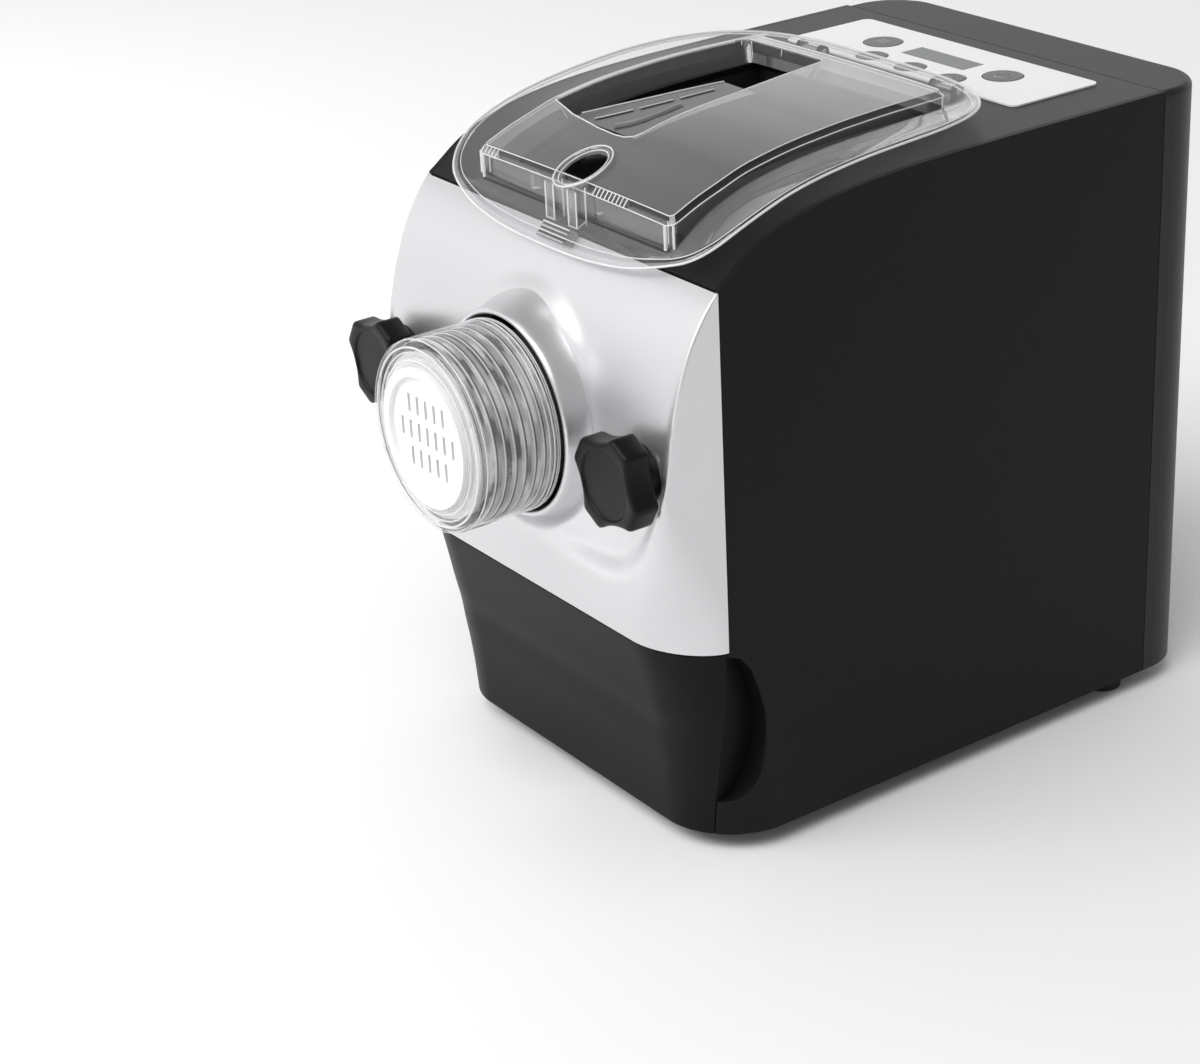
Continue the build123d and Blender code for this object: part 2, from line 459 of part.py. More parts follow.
def rim_band(lo):
    """Rim volume, its top rising towards the hinge."""
    a = offset_line(LID_LINE, lo)
    b = []
    for i, (y, z) in enumerate(LID_LINE):
        p, q = LID_LINE[max(i - 1, 0)], LID_LINE[min(i + 1, len(LID_LINE) - 1)]
        ty, tz = q[0] - p[0], q[1] - p[1]
        n = math.hypot(ty, tz)
        d = RIM_HIGH + lerp_table(RIM_STEP, y)[0]
        b.append((y - tz / n * d, z + ty / n * d))
    return yz_solid([("spline", a), ("line", [a[-1], b[-1]]), ("spline", list(reversed(b))), ("line", [b[0], a[0]])], -110, 110)


plan_out = xy_spline(plan(0.0), 200, 320)
plan_in = xy_spline(plan(2.6), 190, 330)
flange = band(FL_LOW, FL_HIGH, 110) & plan_out
rim = rim_band(FL_LOW) & (plan_out - plan_in)
BOX_TOP = [(0.5, 277.7), (10.0, 281.8), (19.2, 285.6), (31.0, 289.5), (42.4, 293.1), (55.0, 295.6), (69.4, 297.7), (85.0, 299.1), (100.0, 300.1), (125.0, 300.8), (155.0, 300.9)]


def lid_box(inset, drop):
    y0, y1 = LID_BOX_Y0 + inset, LID_BOX_Y1 - inset
    top = [(y, z - drop) for y, z in BOX_TOP]
    prism = yz_solid([("spline", top), ("line", [top[-1], (top[-1][0], 240.0), (top[0][0], 240.0), top[0]])], -LID_BOX_HALF, LID_BOX_HALF)
    side = [(x - inset, min(max(y, y0), y1)) for x, y in LID_BOX_PLAN]
    return prism & xy_poly(side + [(-x, y) for x, y in reversed(side)], 200, 330)


above = yz_solid([("spline", offset_line(LID_LINE, FL_LOW)), ("line", [offset_line(LID_LINE, FL_LOW)[-1], (REAR_SEAM, 330), (-30, 330), offset_line(LID_LINE, FL_LOW)[0]])], -110, 110)
box_out, box_in = lid_box(0, 0), lid_box(2.2, 2.2)
lid = flange + rim + (box_out & above) - box_in
# pour window with a sunk tray and slots
WIN = [(-65.6, 45.5), (-64.5, 42.6), (-44.2, 37.6), (-21.8, 34.9), (-9.4, 34.3), (-2.8, 34.8), (1.5, 37.0), (3.0, 41.2), (3.0, 71.5), (2.8, 91.0), (0.4, 110.7), (-3.0, 131.0), (-5.0, 143.5), (-8.0, 146.4), (-59.0, 146.4), (-62.6, 142.0)]
WIN_OUT = [(-68.0, 44.5), (-66.4, 41.0), (-44.8, 35.4), (-22.1, 32.7), (-9.4, 32.1), (-2.0, 32.7), (3.2, 35.6), (5.2, 41.0), (5.2, 71.5), (5.0, 91.2), (2.6, 111.0), (-0.8, 131.4), (-3.0, 144.6), (-7.1, 148.6), (-60.0, 148.6), (-64.9, 142.6)]


def drop_band(d0, d1):
    top = [(y, z - d0) for y, z in BOX_TOP]
    bot = [(y, z - d1) for y, z in BOX_TOP]
    return yz_solid([("spline", top), ("line", [top[-1], bot[-1]]), ("spline", list(reversed(bot))), ("line", [bot[0], top[0]])], -LID_BOX_HALF, LID_BOX_HALF)


TRAY_D = 13.0
mouth = box(-CH_HALF + 1.2, CH_HALF - 1.2, CH_Y0 + 1.2, CH_Y1 - 1.2, 240, 330)
mouth_in = box(-CH_HALF + 3.2, CH_HALF - 3.2, CH_Y0 + 3.2, CH_Y1 - 3.2, 240, 330)
above_in = above.moved(Location((0, 0, 2.0)))
well_out = xy_poly(WIN_OUT, 250, 310) & drop_band(0, TRAY_D + 2.0) & (above + mouth)
well_cut = xy_poly(WIN, 250, 310) & drop_band(-5, TRAY_D) & (above_in + mouth_in)
lid = lid + well_out - well_cut
for sx, sy0, sy1 in ((-10.0, 52.0, 80.0), (-12.5, 84.0, 112.0), (-18.0, 52.0, 80.0), (-20.5, 84.0, 112.0)):
    lid = lid - box(sx - 2.2, sx + 2.2, sy0, sy1, 255, 302)
lid = lid - box(-55.0, -30.0, 52.0, 132.0, 255, 302)
# finger hole with a raised ring near the front
ring_c, ring_tilt = (0.0, 11.6, 282.3), 22.0
hole = Pos(*ring_c) * Rot(ring_tilt, 0, 0) * Cylinder(9.0, 14)
ring = Pos(*ring_c) * Rot(ring_tilt, 0, 0) * (Cylinder(12.6, 3.6) - Cylinder(9.0, 8))
lid = lid - hole + ring
# hinge lugs at the rear
for s in (-1, 1):
    for e in (-1, 1):
        lid = lid - box(s * 45 + e * 5.8, s * 45 + e * 8.8, HINGE_Y - 5.0, HINGE_Y + 8.0, 280, 310)
    lug = xcyl(3.2, s * 45 - 5.8, s * 45 + 5.8, HINGE_Y, HINGE_Z)
    lid = lid + lug - xcyl(1.55, s * 45 - 10, s * 45 + 10, HINGE_Y, HINGE_Z)
# ribbed latch slider in a slot of the flange; its frame runs up the slope (s) and outwards (h)
LATCH_AT, LATCH_TILT = (0.0, -4.1, 255.1), 47.9


def slope_box(x, s0, s1, h0, h1):
    return Pos(*LATCH_AT) * Rot(LATCH_TILT, 0, 0) * Pos(0, (s0 + s1) / 2, (h0 + h1) / 2) * Box(2 * x, s1 - s0, h1 - h0)


lid = lid - slope_box(10.7, -4.2, 6.1, 0.5, 6.0)
parts["lid"] = lid
latch = slope_box(10.3, -1.7, 5.7, 0.7, 2.9) + slope_box(11.6, -1.7, 5.7, 0.5, 1.3)
for i in range(4):
    latch = latch + slope_box(9.6, -1.3 + i * 1.9, -0.3 + i * 1.9, 2.8, 3.7)
parts["lid_latch"] = latch

# hinge brackets and pins on the deck
brackets = None
pins2 = None
for s in (-1, 1):
    for e in (-1, 1):
        xa, xb = s * 45 + e * 6.1, s * 45 + e * 8.3
        ear = xcyl(2.9, min(xa, xb), max(xa, xb), HINGE_Y, HINGE_Z) + box(xa, xb, HINGE_Y - 2.9, HINGE_Y + 2.9, DECK_Z - WALL, HINGE_Z)
        ear = ear - xcyl(1.51, s * 45 - 12, s * 45 + 12, HINGE_Y, HINGE_Z)
        brackets = ear if brackets is None else brackets + ear
    plate = box(s * 45 - 8.3, s * 45 + 8.3, HINGE_Y - 2.9, HINGE_Y + 2.9, DECK_Z - WALL - 2.05, DECK_Z - WALL - 0.05)
    brackets = brackets + plate
    pn = xcyl(1.5, s * 45 - 8.2, s * 45 + 8.2, HINGE_Y, HINGE_Z)
    pins2 = pn if pins2 is None else pins2 + pn
for s in (-1, 1):
    for e in (-1, 1):
        xa, xb = s * 45 + e * 6.1, s * 45 + e * 8.3
        brackets = brackets + (box(xa, xb, HINGE_Y - 2.9, HINGE_Y + 2.9, DECK_Z - WALL - 2.05, DECK_Z - 1) )
brackets = brackets - xcyl(1.51, -60, 60, HINGE_Y, HINGE_Z)
parts["lid_hinge_brackets"] = brackets
parts["lid_hinge_pins"] = pins2

# lid switch under the deck and its plunger
parts["lid_switch"] = box(SW_X - 6, SW_X + 6, SW_Y - 10, SW_Y + 10, 262.0, 274.0) - zcyl(2.4, 268, 280, SW_X, SW_Y) + box(SW_X - 6, SW_X + 20, SW_Y - 12, SW_Y + 12, 259.0, 262.0)
parts["lid_switch_plunger"] = zcyl(2.0, 270.0, deck_z(SW_Y) + 1.4, SW_X, SW_Y)

# ---------------------------------------------------------------- control panel
panel = box(-PANEL_HALF, PANEL_HALF, PANEL_Y0, PANEL_Y1, DECK_Z + 0.0, DECK_Z + 0.7)
panel = fillet(panel.edges().filter_by(Axis.Z), 4.0)
for bx, by, br in BTN.values():
    panel = panel - zcyl(br + 0.4, 270, 300, bx, by)
panel = panel - box(-20.7, 20.7, 203.3, 216.2, 280, 300)
parts["control_panel"] = panel
parts["display_window"] = box(-20.5, 20.5, 203.5, 216.0, DECK_Z - WALL, DECK_Z + 0.75)
board = box(-72, 72, 183.0, 230.0, 280.0, 281.6) + box(-19.0, 19.0, 204.0, 215.5, 281.6, DECK_Z - WALL - 0.1)
parts["control_board"] = board
sw = None
for name, (bx, by, br) in BTN.items():
    b = zcyl(br, 286.0, DECK_Z + 0.9, bx, by)
    b = fillet(b.edges().sort_by(Axis.Z)[-1], 0.8)
    b = b + zcyl(2.0, 285.6, 286.2, bx, by)
    parts[name] = b
    t = box(bx - 3, bx + 3, by - 3, by + 3, 281.65, 283.8) + zcyl(1.6, 283.8, 284.6, bx, by)
    sw = t if sw is None else sw + t
parts["tact_switches"] = sw


# ---------------------------------------------------------------- gears
def gear(m, n, cx, cz, y0, y1, phase_deg, bore, add=1.0, backlash=0.16):
    """Spur gear with involute flanks, tooth centred at phase_deg (measured from +X towards +Z)."""
    pa = math.radians(20)
    rp = m * n / 2
    rb = rp * math.cos(pa)
    ra = rp + add * m
    rf = rp - 1.25 * m
    inv = lambda a: math.tan(a) - a
    half_p = math.pi / (2 * n) - backlash / (2 * rp) + inv(pa)
    pts = []
    for k in range(n):
        c = math.radians(phase_deg) + 2 * math.pi * k / n
        flank = []
        r0 = max(rb, rf)
        for j in range(5):
            r = r0 + (ra - r0) * j / 4
            a = math.acos(min(1.0, rb / r))
            flank.append((r, half_p - inv(a)))
        if rf < rb:
            flank = [(rf, flank[0][1] * 1.0)] + flank
        for r, h in flank:
            pts.append((cx + r * math.cos(c - h), cz + r * math.sin(c - h)))
        for r, h in reversed(flank):
            pts.append((cx + r * math.cos(c + h), cz + r * math.sin(c + h)))
    return xz_poly(pts, y0, y1) - ycyl(bore, y0 - 1, y1 + 1, cx, cz)


# output gear sits above the idler, so its lowest tooth meets a gap of the idler pinion
parts["output_gear"] = gear(M_OUT, T_OUT, 0, Z_AX, 170.0, 180.0, -90.0, 6.0, add=0.85) + ytube(12.0, 6.0, 180.0, 184.0)
parts["idler_gear"] = (gear(M_OUT, T_IDP, 0, Z_IDLER, 169.0, 181.0, 90.0 + 180.0 / T_IDP, 3.0, add=0.9)
                       + gear(M_IN, T_IDG, 0, Z_IDLER, 184.5, 191.0, -90.0, 3.0, add=0.85)
                       + ycyl(7.0, 181.0, 184.5, 0, Z_IDLER) + ycyl(3.98, 162.0, 197.8, 0, Z_IDLER))
parts["motor_pinion"] = gear(M_IN, T_MOT, 0, Z_MOTOR, 183.5, 192.0, 90.0 + 180.0 / T_MOT, 3.0, add=0.9)
hexa = [(5.6 * math.cos(math.radians(60 * i)), Z_AX + 5.6 * math.sin(math.radians(60 * i))) for i in range(6)]
shaft = ycyl(5.98, 146.0, 199.0) + xz_poly(hexa, 134.5, 146.0)
parts["output_shaft"] = shaft
socket = [(5.75 * math.cos(math.radians(60 * i)), Z_AX + 5.75 * math.sin(math.radians(60 * i))) for i in range(6)]

# feed screw with stepped flights and kneading bars
auger = ycyl(8.0, -62.0, 130.0) + ycyl(11.0, 126.0, 145.5)
auger = auger - xz_poly(socket, 134.0, 150.0)
flights = None
STEPS, LEAD = 12, 22.0
for i in range(int((14.0 + 58.0) / LEAD * STEPS)):
    a0 = math.radians(i * 360.0 / STEPS)
    a1 = a0 + math.radians(360.0 / STEPS + 1.5)
    pts = [(7.0 * math.cos(a0), Z_AX + 7.0 * math.sin(a0))]
    for j in range(4):
        a = a0 + (a1 - a0) * j / 3
        pts.append((AUGER_R * math.cos(a), Z_AX + AUGER_R * math.sin(a)))
    pts.append((7.0 * math.cos(a1), Z_AX + 7.0 * math.sin(a1)))
    y = -58.0 + i * LEAD / STEPS
    seg = xz_poly(pts, y, y + 4.0)
    flights = seg if flights is None else flights + seg
auger = auger + flights
parts["feed_screw"] = auger
bars = None
for i, y in enumerate((40.0, 66.0, 92.0, 118.0)):
    for s in (1, -1):
        bar = Pos(0, y, Z_AX) * Rot(0, 40 * i + (0 if s > 0 else 180), 0) * (Pos(30.5, 0, 0) * Box(43, 7, 5) + Pos(50, 4, 0) * Box(6, 15, 7))
        bars = bar if bars is None else bars + bar
    bars = bars + ytube(13.0, 8.05, y - 6, y + 6)
parts["kneading_bars"] = bars - ycyl(8.05, 0, 200)

# ---------------------------------------------------------------- gearbox, bearings, motor
GB_X, GB_Z0, GB_Z1 = 46.0, 86.0, 232.0
gb_holes = [(-40.0, 92.0), (40.0, 92.0), (-40.0, 226.0), (40.0, 226.0)]
gh = box(-GB_X, GB_X, 163.0, 194.0, GB_Z0, GB_Z1) - box(-GB_X + 3, GB_X - 3, 166.5, 200.0, GB_Z0 + 3, GB_Z1 - 3)
gc = box(-GB_X, GB_X, 194.05, 197.5, GB_Z0, GB_Z1)
gh = gh - ycyl(10.0, 150, 175) - ycyl(7.5, 150, 175, 0, Z_IDLER)
gc = gc - ycyl(10.0, 190, 205) - ycyl(7.5, 190, 205, 0, Z_IDLER) - ycyl(9.0, 190, 205, 0, Z_MOTOR)
for x, z in gb_holes:
    gh = gh + (ycyl(5.0, 166.0, 194.0, x, z) & box(-GB_X, GB_X, 163, 194, GB_Z0, GB_Z1)) - ycyl(1.6, 175.0, 200.0, x, z)
    gc = gc - ycyl(2.1, 190, 205, x, z)
parts["gearbox_housing"] = gh
parts["gearbox_cover"] = gc
gs = None
for x, z in gb_holes:
    g = ycyl(1.55, 178.0, 197.5, x, z) + ycyl(3.6, 197.52, 199.8, x, z) + ycyl(1.55, 197.0, 198.5, x, z)
    gs = g if gs is None else gs + g
screws = gs + foot_screws
bs = ytube(9.98, 6.05, 160.5, 168.5) + ytube(9.98, 6.05, 194.0, 198.8)
bs = bs + ytube(7.48, 4.05, 161.5, 168.0, 0, Z_IDLER) + ytube(7.48, 4.05, 194.0, 197.6, 0, Z_IDLER)
parts["gearbox_bushes"] = bs
can = ytube(33.0, 30.6, 198.2, 258.0, 0, Z_MOTOR) + ytube(33.0, 8.0, 258.0, 260.5, 0, Z_MOTOR) + ytube(33.0, 8.0, 198.2, 200.5, 0, Z_MOTOR)
parts["motor_can"] = can
parts["motor_stator"] = ytube(30.5, 21.5, 212.0, 246.0, 0, Z_MOTOR)
parts["motor_bearings"] = ytube(8.0, 3.05, 198.5, 203.5, 0, Z_MOTOR) + ytube(8.0, 3.05, 255.5, 260.0, 0, Z_MOTOR)
parts["motor_rotor"] = ycyl(20.8, 214.0, 244.0, 0, Z_MOTOR) + ycyl(2.98, 183.0, 268.0, 0, Z_MOTOR)
fan = ycyl(7.0, 262.0, 268.0, 0, Z_MOTOR)
for i in range(7):
    fan = fan + Pos(0, 265.0, Z_MOTOR) * Rot(0, i * 360 / 7, 0) * (Pos(17, 0, 0) * Rot(25, 0, 0) * Box(22, 1.4, 9))
fan = fan - ycyl(3.0, 255, 275, 0, Z_MOTOR)
parts["motor_fan"] = fan & ycyl(29.0, 261.2, 270.5, 0, Z_MOTOR)
cradle = box(-24, 24, 206.0, 240.0, BODY_BOTTOM + WALL + 0.05, 76.0) - ycyl(33.05, 200, 260, 0, Z_MOTOR)
cradle = cradle - box(-18, 18, 200, 245, BODY_BOTTOM + WALL + 3, 60)
stand = box(-GB_X, -GB_X + 10, 163.0, 196.0, BODY_BOTTOM + WALL + 0.05, GB_Z0 - 0.05) + box(GB_X - 10, GB_X, 163.0, 196.0, BODY_BOTTOM + WALL + 0.05, GB_Z0 - 0.05)
stand = stand + box(-GB_X, GB_X, 163.0, 196.0, BODY_BOTTOM + WALL + 0.05, BODY_BOTTOM + WALL + 3)
parts["drive_mount"] = stand + cradle + box(-18, 18, 190.0, 212.0, BODY_BOTTOM + WALL + 0.05, BODY_BOTTOM + WALL + 3)

# power board with its parts, held on the base
pb = box(74.0, 75.6, 175.0, 236.0, BODY_BOTTOM + WALL + 0.05, 110.0)
pb = pb + box(60.0, 74.0, 190.0, 212.0, 60.0, 84.0) + xcyl(9.0, 56.0, 74.0, 222.0, 92.0) + box(64.0, 74.0, 182.0, 200.0, 30.0, 48.0)
parts["power_board"] = pb + box(64.0, 84.0, 178.0, 233.0, BODY_BOTTOM + WALL + 0.05, BODY_BOTTOM + WALL + 2)

# ---------------------------------------------------------------- screws that hold the rear cover
rs = None
for x, z in ((-70.0, 24.0), (70.0, 120.0), (-70.0, 120.0), (-70.0, 270.0), (70.0, 270.0)):
    parts["rear_cover"] = parts["rear_cover"] - ycyl(2.2, REAR_Y - 5, REAR_Y + 3, x, z) - ycyl(4.2, REAR_Y - 1.2, REAR_Y + 3, x, z)
    g = ycyl(2.0, REAR_Y - 12, REAR_Y - 1.0, x, z) + ycyl(3.9, REAR_Y - 1.15, REAR_Y - 0.1, x, z)
    rs = g if rs is None else rs + g
fs = None
for x, z in FS:
    g = ycyl(1.9, 1.5, 15.5, x, z) + ycyl(4.0, 0.9, 3.1, x, z)
    fs = g if fs is None else fs + g
parts["case_screws"] = screws + rs + fs

# ---------------------------------------------------------------- write
os.makedirs("parts", exist_ok=True)
for old in os.listdir("parts"):
    if old.endswith(".step") and old[:-5] not in parts:
        os.remove(os.path.join("parts", old))
for name, shape in parts.items():
    solids = [s.moved(Location((0, -Y_SHIFT, 0))) for s in shape.solids()]
    out = solids[0] if len(solids) == 1 else Compound(children=solids)
    export_step(out, os.path.join("parts", name + ".step"))
    print(name, len(solids), round(sum(s.volume for s in solids)))
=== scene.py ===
import json
import math

import bmesh
import bpy
from mathutils import Matrix, Vector


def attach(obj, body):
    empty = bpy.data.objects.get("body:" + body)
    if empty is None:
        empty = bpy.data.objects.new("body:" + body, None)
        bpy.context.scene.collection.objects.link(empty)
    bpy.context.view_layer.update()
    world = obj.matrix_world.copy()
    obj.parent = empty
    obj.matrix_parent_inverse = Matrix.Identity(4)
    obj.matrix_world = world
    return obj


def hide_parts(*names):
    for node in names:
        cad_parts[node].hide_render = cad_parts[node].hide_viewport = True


# Electric pasta maker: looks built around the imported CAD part.
# Lengths below are millimetres in the modelling frame (y = 0 at the side panels' front edge); P() gives metres.
Y_SHIFT = 100.0
Z_AX = 185.5

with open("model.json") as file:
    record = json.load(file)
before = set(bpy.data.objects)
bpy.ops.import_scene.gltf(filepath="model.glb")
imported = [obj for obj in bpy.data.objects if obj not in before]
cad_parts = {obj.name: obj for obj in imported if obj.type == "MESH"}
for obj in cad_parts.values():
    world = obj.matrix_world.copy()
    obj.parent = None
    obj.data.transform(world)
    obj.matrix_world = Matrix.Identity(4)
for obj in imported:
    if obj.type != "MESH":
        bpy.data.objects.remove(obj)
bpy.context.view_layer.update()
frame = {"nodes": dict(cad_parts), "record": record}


def P(x, y, z):
    return Vector((x / 1000.0, (y - Y_SHIFT) / 1000.0, z / 1000.0))


def lerp(table, v):
    if v <= table[0][0]:
        return table[0][1]
    for a, b in zip(table, table[1:]):
        if a[0] <= v <= b[0]:
            return a[1] + (b[1] - a[1]) * (v - a[0]) / (b[0] - a[0])
    return table[-1][1]


def smooth(table, v):
    """Monotone cubic through the table's points."""
    n = len(table)
    if v <= table[0][0]:
        return table[0][1]
    if v >= table[-1][0]:
        return table[-1][1]
    i = max(k for k in range(n - 1) if table[k][0] <= v)
    d = [(table[k + 1][1] - table[k][1]) / (table[k + 1][0] - table[k][0]) for k in range(n - 1)]

    def slope(k):
        if k == 0:
            return d[0]
        if k == n - 1:
            return d[-1]
        a, b = d[k - 1], d[k]
        return 0.0 if a * b <= 0 else 2 * a * b / (a + b)

    x0, y0 = table[i]
    x1, y1 = table[i + 1]
    h = x1 - x0
    t = (v - x0) / h
    m0, m1 = slope(i) * h, slope(i + 1) * h
    return (2 * t**3 - 3 * t * t + 1) * y0 + (t**3 - 2 * t * t + t) * m0 + (-2 * t**3 + 3 * t * t) * y1 + (t**3 - t * t) * m1


def step(a, b, v):
    t = min(1.0, max(0.0, (v - a) / (b - a)))
    return t * t * (3 - 2 * t)


# ------------------------------------------------------------------ materials
def material(name, color, rough, metallic=0.0, **kw):
    m = bpy.data.materials.new(name)
    m.use_nodes = True
    nt = m.node_tree
    b = nt.nodes["Principled BSDF"]
    b.inputs["Base Color"].default_value = (*color, 1.0)
    b.inputs["Roughness"].default_value = rough
    b.inputs["Metallic"].default_value = metallic
    for k, v in kw.items():
        if k in ("noise", "bump", "rough_var"):
            continue
        b.inputs[k].default_value = v
    if kw.get("noise"):
        scale, amount = kw["noise"]
        tc = nt.nodes.new("ShaderNodeTexCoord")
        no = nt.nodes.new("ShaderNodeTexNoise")
        no.inputs["Scale"].default_value = scale
        no.inputs["Detail"].default_value = 4.0
        nt.links.new(tc.outputs["Object"], no.inputs["Vector"])
        mp = nt.nodes.new("ShaderNodeMapRange")
        mp.inputs["To Min"].default_value = max(0.02, rough - amount)
        mp.inputs["To Max"].default_value = min(1.0, rough + amount)
        nt.links.new(no.outputs["Fac"], mp.inputs["Value"])
        nt.links.new(mp.outputs["Result"], b.inputs["Roughness"])
    if kw.get("bump"):
        scale, dist = kw["bump"]
        tc = nt.nodes.new("ShaderNodeTexCoord")
        no = nt.nodes.new("ShaderNodeTexNoise")
        no.inputs["Scale"].default_value = scale
        no.inputs["Detail"].default_value = 2.0
        nt.links.new(tc.outputs["Object"], no.inputs["Vector"])
        bp = nt.nodes.new("ShaderNodeBump")
        bp.inputs["Strength"].default_value = 0.35
        bp.inputs["Distance"].default_value = dist
        nt.links.new(no.outputs["Fac"], bp.inputs["Height"])
        nt.links.new(bp.outputs["Normal"], b.inputs["Normal"])
    return m


def clear(name, tint, rough, sheets=2.0):
    """Clear plastic that lets light and shadows through, with the gloss of one face or of a sheet's two faces."""
    m = bpy.data.materials.new(name)
    m.use_nodes = True
    nt = m.node_tree
    nt.nodes.clear()
    out = nt.nodes.new("ShaderNodeOutputMaterial")
    tr = nt.nodes.new("ShaderNodeBsdfTransparent")
    tr.inputs["Color"].default_value = (*tint, 1.0)
    gl = nt.nodes.new("ShaderNodeBsdfGlossy")
    gl.inputs["Roughness"].default_value = rough
    gl.inputs["Color"].default_value = (1, 1, 1, 1)
    lw = nt.nodes.new("ShaderNodeLayerWeight")
    lw.inputs["Blend"].default_value = 0.5
    pw = nt.nodes.new("ShaderNodeMath")
    pw.operation = "POWER"
    pw.inputs[1].default_value = 5.0
    nt.links.new(lw.outputs["Facing"], pw.inputs[0])
    ma = nt.nodes.new("ShaderNodeMath")
    ma.operation = "MULTIPLY_ADD"
    ma.use_clamp = True
    ma.inputs[1].default_value = 0.96 * (1.0 if sheets == 1.0 else 1.35)
    ma.inputs[2].default_value = 0.04 * sheets
    nt.links.new(pw.outputs["Value"], ma.inputs[0])
    mix = nt.nodes.new("ShaderNodeMixShader")
    nt.links.new(ma.outputs["Value"], mix.inputs["Fac"])
    nt.links.new(tr.outputs["BSDF"], mix.inputs[1])
    nt.links.new(gl.outputs["BSDF"], mix.inputs[2])
    nt.links.new(mix.outputs["Shader"], out.inputs["Surface"])
    return m


def haze(name, color, cover, rough):
    """A layer that lets part of the light through and gives part back in its own colour: clear plastic where it is
    thick or cut, and also painted highlights and painted shade laid over the clear parts.
    """
    m = bpy.data.materials.new(name)
    m.use_nodes = True
    nt = m.node_tree
    b = nt.nodes["Principled BSDF"]
    b.inputs["Base Color"].default_value = (*color, 1.0)
    b.inputs["Roughness"].default_value = rough
    out = next(n for n in nt.nodes if n.type == "OUTPUT_MATERIAL")
    tr = nt.nodes.new("ShaderNodeBsdfTransparent")
    mix = nt.nodes.new("ShaderNodeMixShader")
    mix.inputs["Fac"].default_value = cover
    nt.links.new(tr.outputs["BSDF"], mix.inputs[1])
    nt.links.new(b.outputs["BSDF"], mix.inputs[2])
    nt.links.new(mix.outputs["Shader"], out.inputs["Surface"])
    return m


def painted_patch_glass(name):
    """Threaded clear plastic seen from its side: painted light and dark patches, ring by ring, standing for the light
    the threads break up.
    """
    m = haze(name, (0.5, 0.5, 0.5), 0.5, 0.25)
    nt = m.node_tree
    b = nt.nodes["Principled BSDF"]
    mix = next(n for n in nt.nodes if n.type == "MIX_SHADER")
    tc = nt.nodes.new("ShaderNodeTexCoord")
    sep = nt.nodes.new("ShaderNodeSeparateXYZ")
    nt.links.new(tc.outputs["Object"], sep.inputs["Vector"])
    ring = nt.nodes.new("ShaderNodeMath")
    ring.operation = "DIVIDE"
    ring.inputs[1].default_value = 0.0024
    nt.links.new(sep.outputs["Y"], ring.inputs[0])
    fl = nt.nodes.new("ShaderNodeMath")
    fl.operation = "FLOOR"
    nt.links.new(ring.outputs["Value"], fl.inputs[0])
    com = nt.nodes.new("ShaderNodeCombineXYZ")
    nt.links.new(sep.outputs["X"], com.inputs["X"])
    nt.links.new(sep.outputs["Z"], com.inputs["Z"])
    no = nt.nodes.new("ShaderNodeTexNoise")
    no.noise_dimensions = "4D"
    no.inputs["Scale"].default_value = 60.0
    no.inputs["Detail"].default_value = 1.5
    nt.links.new(com.outputs["Vector"], no.inputs["Vector"])
    w = nt.nodes.new("ShaderNodeMath")
    w.operation = "MULTIPLY"
    w.inputs[1].default_value = 0.41
    nt.links.new(fl.outputs["Value"], w.inputs[0])
    nt.links.new(w.outputs["Value"], no.inputs["W"])
    cr = nt.nodes.new("ShaderNodeValToRGB")
    el = cr.color_ramp.elements
    el[0].position, el[0].color = 0.38, (0.26, 0.26, 0.265, 1)
    el[1].position, el[1].color = 0.66, (0.97, 0.97, 0.98, 1)
    for pos, v in ((0.44, 0.55), (0.57, 0.76), (0.60, 0.97)):
        e = el.new(pos)
        e.color = (v, v, v * 1.01, 1)
    nt.links.new(no.outputs["Fac"], cr.inputs["Fac"])
    nt.links.new(cr.outputs["Color"], b.inputs["Base Color"])
    mix.inputs["Fac"].default_value = 0.55
    return m


